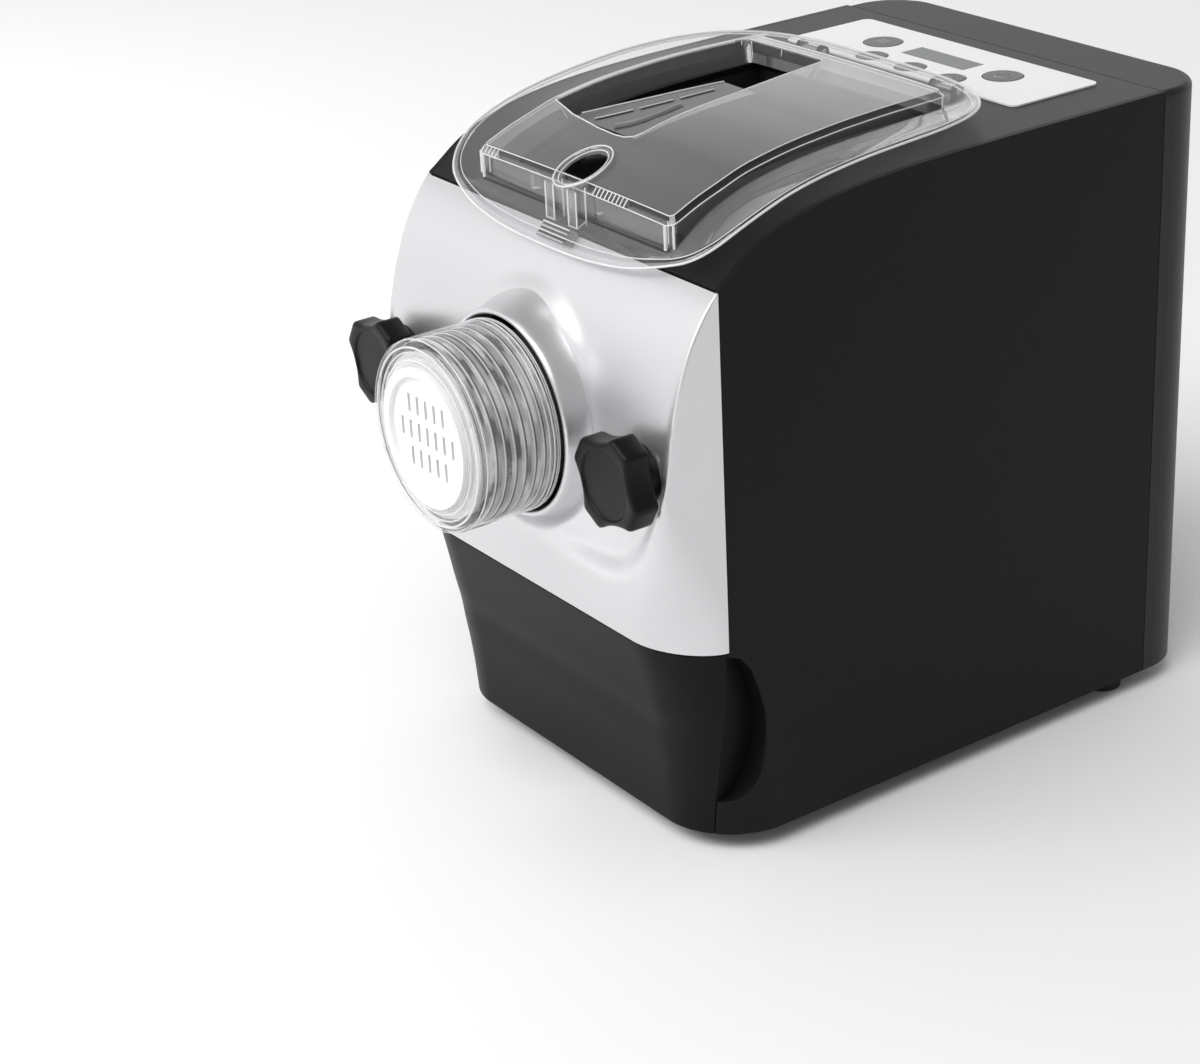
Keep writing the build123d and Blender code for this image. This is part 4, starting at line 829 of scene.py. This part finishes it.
def span(y):
    """x limits of the opening in the top plate at y, or None."""
    if abs(y - HOLE_Y) < HOLE_B:
        a = HOLE_A * math.sqrt(max(0.0, 1 - ((y - HOLE_Y) / HOLE_B) ** 2))
        return (-a, a)
    xs = []
    for p, q in zip(WIN, WIN[1:] + WIN[:1]):
        if (p[1] - y) * (q[1] - y) <= 0 and p[1] != q[1]:
            xs.append(p[0] + (q[0] - p[0]) * (y - p[1]) / (q[1] - p[1]))
    if len(xs) >= 2:
        return (min(xs), max(xs))
    return None


ys = {BY0 + 3.0, BY1 - 3.0, 34.3} | {y for x, y in WIN}
ys |= {HOLE_Y + HOLE_B * math.sin(math.radians(a)) * 0.9999 for a in range(-90, 91, 10)}
ys |= {BY0 + 3.0 + (BY1 - BY0 - 6.0) * i / 60 for i in range(61)}
ys = sorted(y for y in ys if BY0 + 3.0 - 1e-9 <= y <= BY1 - 3.0 + 1e-9)
ys = [y for i, y in enumerate(ys) if i == 0 or y - ys[i - 1] > 1e-3]
verts, faces = [], []
NC = 10
prev = None
for y in ys:
    xe = smooth(BOX_SIDE, y) - 3.0
    sp = span(y)
    if sp is None:
        if 30.0 < y < 34.4:
            sp = (-9.4, -9.4)
        elif y > 146.0:
            sp = (-30.0, -30.0)
        else:
            sp = (0.0, 0.0)
    l, r = max(sp[0], -xe + 0.02), sp[1]
    row = [(-xe + (l + xe) * k / NC, y) for k in range(NC + 1)] + [(r + (xe - r) * k / NC, y) for k in range(NC + 1)]
    base = len(verts)
    verts += [(x, yy, top_z(x, yy)) for x, yy in row]
    if prev is not None:
        for k in range(2 * NC + 1):
            if k == NC:
                continue
            faces.append((prev + k, prev + k + 1, base + k + 1, base + k))
    prev = base
piece("lid_top", verts, faces, "clear_lid", LID_BODY, ["lid"], sharp=60)
o = piece("lid_top_haze", [(x, y, z - 0.25) for x, y, z in verts], faces, "clear_lid", LID_BODY, ["lid"], sharp=60)
o.data.materials.clear()
o.data.materials.append(MAT["clear_top"])

# hopper under the pour window: sloped walls down to a slotted grate
def loop_points(loop, gap):
    out = []
    for p, q in zip(loop, loop[1:] + loop[:1]):
        n = max(1, int(math.dist(p, q) / gap))
        out += [(p[0] + (q[0] - p[0]) * k / n, p[1] + (q[1] - p[1]) * k / n) for k in range(n)]
    return out


hop = loop_points(WIN, 3.0)
verts, faces = [], []
for x, y in hop:
    zt = top_z(x, y)
    cx, cy = -28.0, 91.0
    bx, by = cx + (x - cx) * 0.80, cy + (y - cy) * 0.93
    verts += [(x, y, zt), (x * 0.995 - 0.2, y, zt - 0.6), (bx, by, zt - 9.0)]
n = len(hop)
for i in range(n):
    j = (i + 1) % n
    for k in range(2):
        faces.append((3 * i + k, 3 * j + k, 3 * j + k + 1, 3 * i + k + 1))
piece("lid_hopper", verts, faces, "clear_lid", LID_BODY, ["lid"], sharp=40)


def bar(name, pts, w, h, slot="clear_lid", body=LID_BODY, rep=("lid",), up=(0, 0, 1)):
    """A strip of width w and height h that runs through points."""
    verts, faces = [], []
    for i, p in enumerate(pts):
        a, b = Vector(pts[max(i - 1, 0)]), Vector(pts[min(i + 1, len(pts) - 1)])
        t = (b - a).normalized()
        sd = t.cross(Vector(up)).normalized()
        u = sd.cross(t)
        c = Vector(p)
        for sx, sz in ((-1, -1), (1, -1), (1, 1), (-1, 1)):
            q = c + sd * (sx * w / 2) + u * (sz * h / 2)
            verts.append(tuple(q))
    m = len(pts)
    for i in range(m - 1):
        for k in range(4):
            l = (k + 1) % 4
            faces.append((4 * i + k, 4 * i + l, 4 * i + 4 + l, 4 * i + 4 + k))
    faces.append((0, 1, 2, 3))
    faces.append((4 * m - 1, 4 * m - 2, 4 * m - 3, 4 * m - 4))
    return piece(name, verts, faces, slot, body, list(rep), sharp=30)


# painted shade: a dark layer on two of the hopper's clear walls stands for the dark of the mixing chamber mirrored in
# them
verts, faces = [], []
for x, y in hop:
    cx, cy = -28.0, 91.0
    for f, h in ((0.02, 1.0), (0.9, 8.9)):
        verts.append((x + (cx - x) * (0.004 + 0.20 * f), y + (cy - y) * (0.004 + 0.07 * f), top_z(x, y) - h))
for i in range(n):
    j = (i + 1) % n
    if hop[i][0] < -58.0 or hop[i][1] > 140.0:
        faces.append((2 * i, 2 * j, 2 * j + 1, 2 * i + 1))
o = piece("lid_hopper_deep", verts, faces, "clear_lid", LID_BODY, ["lid"], sharp=60)
o.data.materials.clear()
o.data.materials.append(MAT["hopper_painted_shade"])


# the hopper's floor on the window's right side: a slotted tray with moulded edges
def on_tray(pts, dz):
    return [(x, y, top_z(x, y) - dz) for x, y in pts]


def repaint(o, look):
    o.data.materials.clear()
    o.data.materials.append(MAT[look])


# painted shade: the tray floor's grey and the dark slots and groove stand for the dark mixing chamber seen through the
# clear tray
TRAY_EDGE = [(-56.8, 46.5), (-56.2, 50.5), (-48.8, 63.6), (-43.0, 77.9), (-39.0, 91.3), (-35.6, 105.3), (-34.0, 112.0)]
verts, faces = [], []
for x, y in TRAY_EDGE:
    verts += on_tray([(x, y), (-10.0, y - 1.0)], 8.1)
for i in range(len(TRAY_EDGE) - 1):
    faces.append((2 * i, 2 * i + 1, 2 * i + 3, 2 * i + 2))
repaint(piece("lid_tray_floor", verts, faces, "clear_lid", LID_BODY, ["lid"], sharp=60), "grate")
# painted highlights along the tray's edge and its slots' lips
tube("lid_tray_edge", on_tray(TRAY_EDGE[1:], 7.8), 0.32, "clear_lid", LID_BODY, ["lid"], "painted_edge_highlight")
TRAY_SLOTS = [[(-44.2, 49.2), (-39.6, 56.9), (-36.2, 63.9)], [(-35.0, 66.7), (-32.6, 74.5), (-30.7, 81.8)], [(-29.9, 85.0), (-28.5, 93.3), (-27.3, 101.6)]]
for n_, pts in enumerate(TRAY_SLOTS):
    tube("lid_tray_lip_%d" % n_, on_tray([(x - 0.7, y + 0.3) for x, y in pts], 7.7), 0.26, "clear_lid", LID_BODY, ["lid"], "painted_edge_highlight")
    repaint(bar("lid_tray_slot_%d" % n_, on_tray(pts, 7.85), 1.1, 0.2), "painted_slot_shade")
repaint(bar("lid_tray_slot_3", on_tray([(-28.2, 47.6), (-24.6, 53.0), (-22.4, 59.7), (-22.0, 72.2), (-23.0, 80.0)], 7.85), 3.0, 0.2), "painted_groove_shade")
# painted highlight along the groove's lip
tube("lid_tray_lip_3", on_tray([(-31.0, 50.2), (-27.2, 55.4), (-25.0, 61.2), (-24.2, 72.6), (-25.0, 82.0)], 7.8), 0.2, "clear_lid", LID_BODY, ["lid"], "painted_rim_highlight")

# finger ring: an oval band round the hole, square to the sloping top
slope = math.atan2(top_z(0, HOLE_Y + 5) - top_z(0, HOLE_Y - 5), 10.0)
ring_c = Vector((0, HOLE_Y, top_z(0, HOLE_Y)))
tx, ty, tn = Vector((1, 0, 0)), Vector((0, math.cos(slope), math.sin(slope))), Vector((0, -math.sin(slope), math.cos(slope)))
sec = [(-1.25, -4.0), (-1.3, 0.9), (-0.9, 1.7), (-0.2, 2.1), (0.5, 2.05), (1.1, 1.6), (1.35, 0.8), (1.35, -0.6)]
verts, faces = [], []
NR = 72
for k in range(NR):
    a = 2 * math.pi * k / NR
    for d, h in sec:
        verts.append(tuple(ring_c + tx * ((10.9 + d) * math.cos(a)) + ty * ((13.2 + d) * math.sin(a)) + tn * h))
m = len(sec)
for k in range(NR):
    l = (k + 1) % NR
    for i in range(m - 1):
        faces.append((k * m + i, k * m + i + 1, l * m + i + 1, l * m + i))
piece("lid_ring", verts, faces, "clear_lid", LID_BODY, ["lid"], sharp=50)

# column with a channel under the ring, in the box's front wall
def column(x0, x1, y0, y1, z0, z1a, z1b, name):
    verts = [(x0, y0, z0), (x1, y0, z0), (x1, y1, z0), (x0, y1, z0), (x0, y0, z1a), (x1, y0, z1a), (x1, y1, z1b), (x0, y1, z1b)]
    faces = [(0, 3, 2, 1), (4, 5, 6, 7), (0, 1, 5, 4), (1, 2, 6, 5), (2, 3, 7, 6), (3, 0, 4, 7)]
    return piece(name, verts, faces, "clear_lid", LID_BODY, ["lid"], sharp=30)


column(-11.0, -5.2, -0.8, 5.6, 261.5, 277.6, 280.2, "lid_post_l")
column(5.2, 11.0, -0.8, 5.6, 261.5, 277.6, 280.2, "lid_post_r")
column(-5.2, 5.2, 3.0, 4.4, 263.5, 278.0, 278.6, "lid_channel")
for i, x in enumerate((-29.0, 17.5)):
    column(x - 1.6, x + 1.6, 5.0, 8.0, 268.5, 275.0, 275.0, "lid_stub_%d" % i)
# rib ticks at the box's front top edge: the pale ticks are painted highlights, the dark ticks between them painted
# shade
for i in range(9):
    tick = column(16.0 + 2.7 * i, 16.6 + 2.7 * i, 4.15, 6.3, 276.3, 277.0, 279.7, "lid_tick_r%d" % i)
    tick.data.materials[0] = MAT["painted_edge_highlight"]
    tick = column(16.7 + 2.7 * i, 17.5 + 2.7 * i, 4.15, 6.3, 276.3, 277.0, 279.7, "lid_tick_d%d" % i)
    tick.data.materials[0] = MAT["painted_shade_lines"]
for i in range(5):
    tick = column(-67.5 + 2.7 * i, -66.9 + 2.7 * i, 4.15, 6.3, 275.5, 276.2, 278.9, "lid_tick_l%d" % i)
    tick.data.materials[0] = MAT["painted_edge_highlight"]

# hinge lugs
for s in (-1, 1):
    verts, faces = [], []
    for x in (s * 45 - 5.7, s * 45 + 5.7):
        for k in range(24):
            a = 2 * math.pi * k / 24
            verts.append((x, 171.5 + 3.15 * math.cos(a), 293.2 + 3.15 * math.sin(a)))
    for k in range(24):
        faces.append((k, (k + 1) % 24, 24 + (k + 1) % 24, 24 + k))
    faces += [tuple(range(24)), tuple(reversed(range(24, 48)))]
    piece("lid_lug_%d" % (s + 1), verts, faces, "clear_lid", LID_BODY, ["lid"], sharp=40)

# painted highlights: bright lines laid along the lid's cut edges stand for the light these edges catch
def edge_line(name, pts, r, closed=False):
    return tube(name, pts, r, "clear_lid", LID_BODY, ["lid"], "painted_edge_highlight", closed)


loop = [(x, y) for x, y in (ray_hit(box_plan(CH_IN, BR), a) for a in angles)]
edge_line("lid_line_top", [(x, y, top_z(x, y) - 0.05) for x, y in loop], 0.28, True)
loop = [(x, y) for x, y in (ray_hit(box_plan(0.15, BR), a) for a in angles)]
edge_line("lid_line_wall", [(x, y, top_z(x, y) - CH_DROP) for x, y in loop], 0.28, True)
edge_line("lid_line_rim", [lift(x, y, rim_height(y) - 1.0) for x, y in rim_plan], 0.55, True)
rim_in = []
for a in angles:
    ox, oy = ray_hit(rim_plan, a)
    d = math.hypot(ox - centre[0], oy - centre[1])
    k = (d - 3.4) / d
    rim_in.append(lift(centre[0] + (ox - centre[0]) * k, centre[1] + (oy - centre[1]) * k, rim_height(oy) - 1.05))
edge_line("lid_line_rim_in", rim_in, 0.22, True)
# painted highlight: a pale band just inside the rim's outline stands for the light along the rim
verts, faces = [], []
for a in angles:
    ox, oy = ray_hit(rim_plan, a)
    d = math.hypot(ox - centre[0], oy - centre[1])
    for off in (0.4, 2.0):
        k = (d - off) / d
        verts.append(lift(centre[0] + (ox - centre[0]) * k, centre[1] + (oy - centre[1]) * k, rim_height(oy) - 1.3))
for i in range(NA):
    j = (i + 1) % NA
    faces.append((2 * i, 2 * j, 2 * j + 1, 2 * i + 1))
o = piece("lid_rim_band", verts, faces, "clear_lid", LID_BODY, ["lid"], sharp=50)
o.data.materials.clear()
o.data.materials.append(MAT["painted_rim_highlight"])
# the flange's faint milkiness, just under its upper face
verts, faces = [], []
for ang in angles:
    ox, oy = ray_hit(rim_plan, ang)
    ix, iy = ray_hit(box_plan(-0.6, BR), ang)
    dist = math.hypot(ox - ix, oy - iy)
    ux, uy = (ix - ox) / dist, (iy - oy) / dist
    for k in range(9):
        t = k / 8
        d = 3.4 + (dist - 3.4) * t
        hr, hb = rim_height(oy) - 1.0, base_height(oy + uy * d)
        verts.append(lift(ox + ux * d, oy + uy * d, hb + (hr - hb) * (1 - t) ** 1.7 - 0.3))
for i in range(NA):
    j = (i + 1) % NA
    for k in range(8):
        faces.append((9 * i + k, 9 * j + k, 9 * j + k + 1, 9 * i + k + 1))
o = piece("lid_flange_haze", verts, faces, "clear_lid", LID_BODY, ["lid"], sharp=60)
o.data.materials.clear()
o.data.materials.append(MAT["clear_wing"])
# painted highlight: a pale strip under the left chamfer stands for the light it turns back up through the top
verts, faces = [], []
run = [4.6 + (154.0 - 4.6) * i / 60 for i in range(61)]
for y in run:
    xo, xi = -(smooth(BOX_SIDE, y) - 0.35), -(smooth(BOX_SIDE, y) - CH_IN - 0.2)
    verts += [(xo, y, top_z(xo, y) - CH_DROP + 0.1), (xi, y, top_z(xi, y) - 0.3)]
for i in range(60):
    faces.append((2 * i, 2 * i + 1, 2 * i + 3, 2 * i + 2))
o = piece("lid_turn", verts, faces, "clear_lid", LID_BODY, ["lid"], sharp=60)
o.data.materials.clear()
o.data.materials.append(MAT["painted_turn_highlight"])
# black seal on the deck round the mixing chamber's mouth
verts, faces = [], []
seal = []
for (xa, ya, xb, yb, inx, iny) in ((-67.0, 13.5, -67.0, 152.0, 9.6, 0), (67.0, 13.5, 67.0, 152.0, -9.6, 0)):
    base = len(verts)
    for i in range(41):
        y = ya + (yb - ya) * i / 40
        verts += [lift(xa, y, 0.25), lift(xa + inx, y, 0.25), lift(xa + inx, y, 0.05), lift(xa, y, 0.05)]
    for i in range(40):
        for k in range(4):
            l = (k + 1) % 4
            faces.append((base + 4 * i + k, base + 4 * i + l, base + 4 * i + 4 + l, base + 4 * i + 4 + k))
    faces += [(base, base + 1, base + 2, base + 3), (base + 163, base + 162, base + 161, base + 160)]
piece("deck_seal", verts, faces, "black_rubber", "housing", [], sharp=30)
# painted highlights along the box's corner edges, the window, the hopper, the finger ring and the posts
for s in (-1, 1):
    for k_, (x, y) in enumerate(((65.6, 4.2), (69.4, 5.6), (64.4, 6.6))):
        z0 = lift(x, y, base_height(y))[2]
        edge_line("lid_line_front_%d_%d" % (s + 1, k_), [(s * x, y, z0), (s * x, y, top_z(x, y) - CH_DROP)], (0.75, 0.6, 0.3)[k_])
    for k_, (x, y) in enumerate(((61.6, 154.7), (64.6, 151.8))):
        z0 = lift(x, y, base_height(y))[2]
        edge_line("lid_line_rear_%d_%d" % (s + 1, k_), [(s * x, y, z0), (s * x, y, top_z(x, y) - CH_DROP)], 0.4)
edge_line("lid_line_window", [(x, y, top_z(x, y) - 0.15) for x, y in loop_points(WIN, 3.0)], 0.34, True)
left_side = [p for p in loop_points(WIN, 3.0) if p[0] < -62.0 and 44.0 < p[1] < 143.0]
left_side.sort(key=lambda p: p[1])
edge_line("lid_line_window_l", [(x + 0.3, y, top_z(x, y) - 0.6) for x, y in left_side], 0.85)
for k_, (x, y, dx, dy, r) in enumerate(((-35.0, 145.8, 0.8, -1.6, 0.3), (-7.2, 145.6, -2.4, -2.4, 0.25), (-61.2, 143.6, 3.8, -2.8, 0.3), (-57.0, 146.0, 4.5, -3.0, 0.2), (-64.0, 43.4, 3.2, 2.6, 0.3))):
    edge_line("lid_line_hopper_%d" % k_, [(x, y, top_z(x, y) - 0.7), (x + dx, y + dy, top_z(x, y) - 8.8)], r)
for k_, (r0, r1, h) in enumerate(((11.9, 14.2, 1.5), (9.7, 12.0, 0.9))):
    pts = []
    for i in range(64):
        a = 2 * math.pi * i / 64
        pts.append(tuple(ring_c + tx * (r0 * math.cos(a)) + ty * (r1 * math.sin(a)) + tn * h))
    edge_line("lid_line_ring_%d" % k_, pts, 0.42 if k_ == 0 else 0.3, True)
for k_, (x, y, z1) in enumerate(((-11.0, -0.8, 277.4), (-5.2, -0.8, 277.4), (5.2, -0.8, 277.4), (11.0, -0.8, 277.4), (11.0, 4.0, 278.5), (-5.2, 4.0, 278.5))):
    edge_line("lid_line_post_%d" % k_, [(x, y, 261.6), (x, y, z1)], 0.38)
edge_line("lid_line_foot", [(5.2, -0.8, 261.8), (11.0, -0.8, 261.8), (11.0, 4.0, 264.0)], 0.35)
edge_line("lid_line_foot_l", [(-11.0, -0.8, 261.8), (-5.2, -0.8, 261.8)], 0.3)


def slope_point(x, s_, h):
    a = math.radians(47.9)
    return (x, -4.1 + s_ * math.cos(a) - h * math.sin(a), 255.1 + s_ * math.sin(a) + h * math.cos(a))


# painted highlights along the latch's ribs
for i in range(4):
    q = -0.8 + 1.9 * i
    edge_o = tube("latch_line_%d" % i, [slope_point(-9.4, q, 3.75), slope_point(9.4, q, 3.75)], 0.38, "clear_lid", "latch", ["lid_latch"], "painted_edge_highlight")
LATCH_BOXES = [(10.3, -1.7, 5.7, 0.7, 2.9), (11.6, -1.7, 5.7, 0.5, 1.3)] + [(9.6, -1.3 + i * 1.9, -0.3 + i * 1.9, 2.8, 3.7) for i in range(4)]
for i, (x, s0, s1, h0, h1) in enumerate(LATCH_BOXES):
    verts = [slope_point(sx * x, s_, h) for h in (h0, h1) for sx, s_ in ((-1, s0), (1, s0), (1, s1), (-1, s1))]
    o = piece("latch_block_%d" % i, verts, [(0, 3, 2, 1), (4, 5, 6, 7), (0, 1, 5, 4), (1, 2, 6, 5), (2, 3, 7, 6), (3, 0, 4, 7)], "clear_lid", "latch", ["lid_latch"], sharp=20)
    o.data.materials.clear()
    o.data.materials.append(MAT["clear_latch"])
# painted shade: a dark sheet under the latch's ribs stands for the shade in the gaps between them
verts = [slope_point(sx * 9.5, s_, h) for h in (2.92, 3.0) for sx, s_ in ((-1, -1.4), (1, -1.4), (1, 5.5), (-1, 5.5))]
o = piece("latch_shade", verts, [(0, 3, 2, 1), (4, 5, 6, 7), (0, 1, 5, 4), (1, 2, 6, 5), (2, 3, 7, 6), (3, 0, 4, 7)], "clear_lid", "latch", ["lid_latch"], sharp=20)
o.data.materials.clear()
o.data.materials.append(MAT["latch_painted_shade"])

# ------------------------------------------------------------------ screw nut: clear, ring threads inside
thread = []
y = -68.5
while y < -40.5:
    thread += [(y, 37.2), (y + 0.8, 38.9), (y + 1.8, 38.9), (y + 2.6, 37.2)]
    y += 4.6
outer_nut = [(-35.6, 37.4), (-35.5, 41.4), (-36.0, 41.9), (-37.2, 42.0), (-38.0, 41.6), (-38.6, 41.95), (-39.4, 42.0), (-40.2, 41.6), (-41.0, 41.95),
             (-70.4, 41.9), (-71.4, 41.3), (-72.2, 41.7), (-73.4, 41.4), (-74.1, 40.6), (-74.5, 39.4), (-74.6, 38.0), (-74.2, 37.0), (-73.6, 36.4), (-73.9, 35.4), (-74.5, 34.6), (-74.6, 33.4), (-74.5, 31.8), (-74.0, 30.9), (-71.6, 30.9),
             (-71.5, 37.2), (-69.6, 37.2)]
prof = [(a, r) for a, r in outer_nut] + thread
verts, faces = lathe(prof, (0, 0, Z_AX), 128)
piece("nut_clear", verts, faces, "clear_nut", "nut", ["die_nut"], sharp=45)

def ring_line(name, y, r, w, look="painted_edge_highlight"):
    pts = [(r * math.cos(2 * math.pi * k / 96), y, Z_AX + r * math.sin(2 * math.pi * k / 96)) for k in range(96)]
    return tube(name, pts, w, "clear_nut", "nut", ["die_nut"], look, True)


# painted highlights: bright lines round the nut's thread rings, its ends and its heel
for k_, (y, r, w) in enumerate(((-66.4, 40.2, 0.42), (-61.6, 40.2, 0.34), (-56.8, 40.2, 0.34), (-52.0, 40.2, 0.34), (-47.2, 40.2, 0.34), (-42.6, 40.2, 0.3),
                                (-73.9, 38.6, 0.5), (-73.2, 36.3, 0.4), (-74.0, 33.2, 0.5), (-73.8, 31.2, 0.3), (-38.4, 41.8, 0.34), (-40.6, 41.7, 0.3), (-71.2, 41.4, 0.34))):
    ring_line("nut_line_%d" % k_, y, r, w)
# painted shade: dark rings beside the bright thread lines
for k_, y in enumerate((-65.6, -60.8, -56.0, -51.2, -46.4, -41.9, -72.5)):
    ring_line("nut_shade_%d" % k_, y, 40.3, 0.3, "painted_shade_lines")
for k_, (y, r, w) in enumerate(((-35.8, 41.5, 0.4), (-36.9, 41.8, 0.25))):
    ring_line("nut_heel_%d" % k_, y, r, w)
# a thin shell inside the nut carries the painted light and dark patches
verts, faces = lathe([(-69.5, 40.0), (-36.2, 40.0), (-36.2, 39.8), (-69.5, 39.8)], (0, 0, Z_AX), 128)
o = piece("nut_core", verts, faces, "clear_nut", "nut", ["die_nut"], sharp=45)
o.data.materials.clear()
o.data.materials.append(MAT["nut_core"])

# symbols moulded on the buttons
BTN_TOP = 290.0


def symbol(name, strokes, body, at, node):
    for k_, (pts, closed) in enumerate(strokes):
        o = tube("%s_%d" % (name, k_), [(at[0] + x, at[1] + y, BTN_TOP) for x, y in pts], 0.3, "grey_button", body, [], "button_mark", closed, 8)


def ring_part(r, a0, a1, n=24):
    return [(r * math.sin(math.radians(a0 + (a1 - a0) * i / n)), r * math.cos(math.radians(a0 + (a1 - a0) * i / n))) for i in range(n + 1)]


symbol("power_symbol", [(ring_part(3.6, 35, 325), False), ([(0, 1.2), (0, 4.6)], False)], "power_key", (40.0, 209.5), "power_button")
symbol("program_symbol", [([(-3.4, 1.9), (3.4, 1.9)], False), ([(-3.4, 0), (3.4, 0)], False), ([(-3.4, -1.9), (3.4, -1.9)], False)], "program_key", (-40.0, 209.5), "program_button")
symbol("minus_symbol", [([(-2.6, 0), (2.6, 0)], False)], "minus_key", (-26.0, 190.8), "minus_button")
symbol("plus_symbol", [([(-2.6, 0), (2.6, 0)], False), ([(0, -2.6), (0, 2.6)], False)], "plus_key", (26.0, 190.8), "plus_button")
symbol("start_symbol", [([(-2.0, -2.3), (-2.0, 2.3), (1.2, 0.0)], True), ([(2.6, -2.2), (2.6, 2.2)], False)], "start_key", (0.0, 190.8), "start_button")


# die: white disc with a raised rim and shaping slots kept from the CAD node
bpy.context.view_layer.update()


# ------------------------------------------------------------------ stage, light, camera
def stage_plane(name, verts, faces, mat):
    me = bpy.data.meshes.new(name)
    me.from_pydata(verts, [], faces)
    o = bpy.data.objects.new(name, me)
    bpy.context.collection.objects.link(o)
    me.materials.append(mat)
    return o


floor_mat = material("floor", (0.95, 0.95, 0.95), 0.9)
floor = stage_plane("floor", [(-8, -8, 0), (8, -8, 0), (8, 8, 0), (-8, 8, 0)], [(0, 1, 2, 3)], floor_mat)

world = bpy.data.worlds.new("world")
bpy.context.scene.world = world
world.use_nodes = True
wt = world.node_tree
bg = wt.nodes["Background"]
bg.inputs["Color"].default_value = (1, 1, 1, 1)


def wnode(kind, **inputs):
    n = wt.nodes.new("ShaderNode" + kind)
    return n


# a pale backdrop low down on the left and behind, a darker room on the right and overhead
tc = wnode("TexCoord")
sx = wnode("SeparateXYZ")
wt.links.new(tc.outputs["Generated"], sx.inputs["Vector"])


def ramp(socket, a, b, lo, hi):
    n = wnode("MapRange")
    n.interpolation_type = "SMOOTHSTEP"
    n.inputs["From Min"].default_value = a
    n.inputs["From Max"].default_value = b
    n.inputs["To Min"].default_value = lo
    n.inputs["To Max"].default_value = hi
    wt.links.new(socket, n.inputs["Value"])
    return n.outputs["Result"]


low = ramp(sx.outputs["Z"], 0.20, 0.85, 1.0, 0.0)
left = ramp(sx.outputs["X"], -0.30, 0.60, 1.0, 0.12)
prod = wnode("Math")
prod.operation = "MULTIPLY"
wt.links.new(low, prod.inputs[0])
wt.links.new(left, prod.inputs[1])
tot = wnode("Math")
tot.operation = "MULTIPLY_ADD"
tot.inputs[1].default_value = 0.80
tot.inputs[2].default_value = 0.28
wt.links.new(prod.outputs["Value"], tot.inputs[0])
wt.links.new(tot.outputs["Value"], bg.inputs["Strength"])


def area(name, loc, target, size_x, size_y, power):
    l = bpy.data.lights.new(name, "AREA")
    l.shape = "RECTANGLE"
    l.size, l.size_y = size_x, size_y
    l.energy = power
    o = bpy.data.objects.new(name, l)
    bpy.context.collection.objects.link(o)
    o.location = loc
    o.rotation_euler = (Vector(target) - Vector(loc)).to_track_quat("-Z", "Y").to_euler()
    return o


area("key", (-0.5, -2.0, 1.9), (0, 0, 0.12), 1.6, 1.1, 24)


def spot(name, x, y, power, angle):
    l = bpy.data.lights.new(name, "SPOT")
    l.energy = power
    l.spot_size = math.radians(angle)
    l.spot_blend = 1.0
    l.shadow_soft_size = 0.3
    o = bpy.data.objects.new(name, l)
    bpy.context.collection.objects.link(o)
    o.location = (x, y, 2.5)
    return o


spot("pool", -1.0, -0.45, 62, 54)
spot("pool_front", -0.10, -1.20, 110, 44)
spot("pool_right", 0.75, -0.48, 85, 27)
down = bpy.data.lights.new("down", "SUN")
down.energy = 1.35
down.angle = math.radians(35)
down_o = bpy.data.objects.new("down", down)
bpy.context.collection.objects.link(down_o)
down_o.rotation_euler = Vector((-0.25, 0.5, -0.83)).to_track_quat("-Z", "Y").to_euler()

az, el, roll = math.radians(55.69), math.radians(25.01), math.radians(-3.0)
back = Vector((math.sin(az) * math.cos(el), -math.cos(az) * math.cos(el), math.sin(el)))
right = (-back).cross(Vector((0, 0, 1))).normalized()
up = right.cross(-back)
r2 = right * math.cos(roll) + up * math.sin(roll)
u2 = -right * math.sin(roll) + up * math.cos(roll)
cam_data = bpy.data.cameras.new("camera")
cam_data.sensor_fit = "HORIZONTAL"
cam_data.sensor_width = 36.0
cam_data.lens = 2785.96 / 1200.0 * 36.0
cam = bpy.data.objects.new("camera", cam_data)
bpy.context.collection.objects.link(cam)
rot = Matrix((r2, u2, back)).transposed()
cam.matrix_world = Matrix.Translation(P(916.886, -615.538, 634.208)) @ rot.to_4x4()
bpy.context.scene.camera = cam
bpy.context.scene.view_settings.view_transform = "Standard"
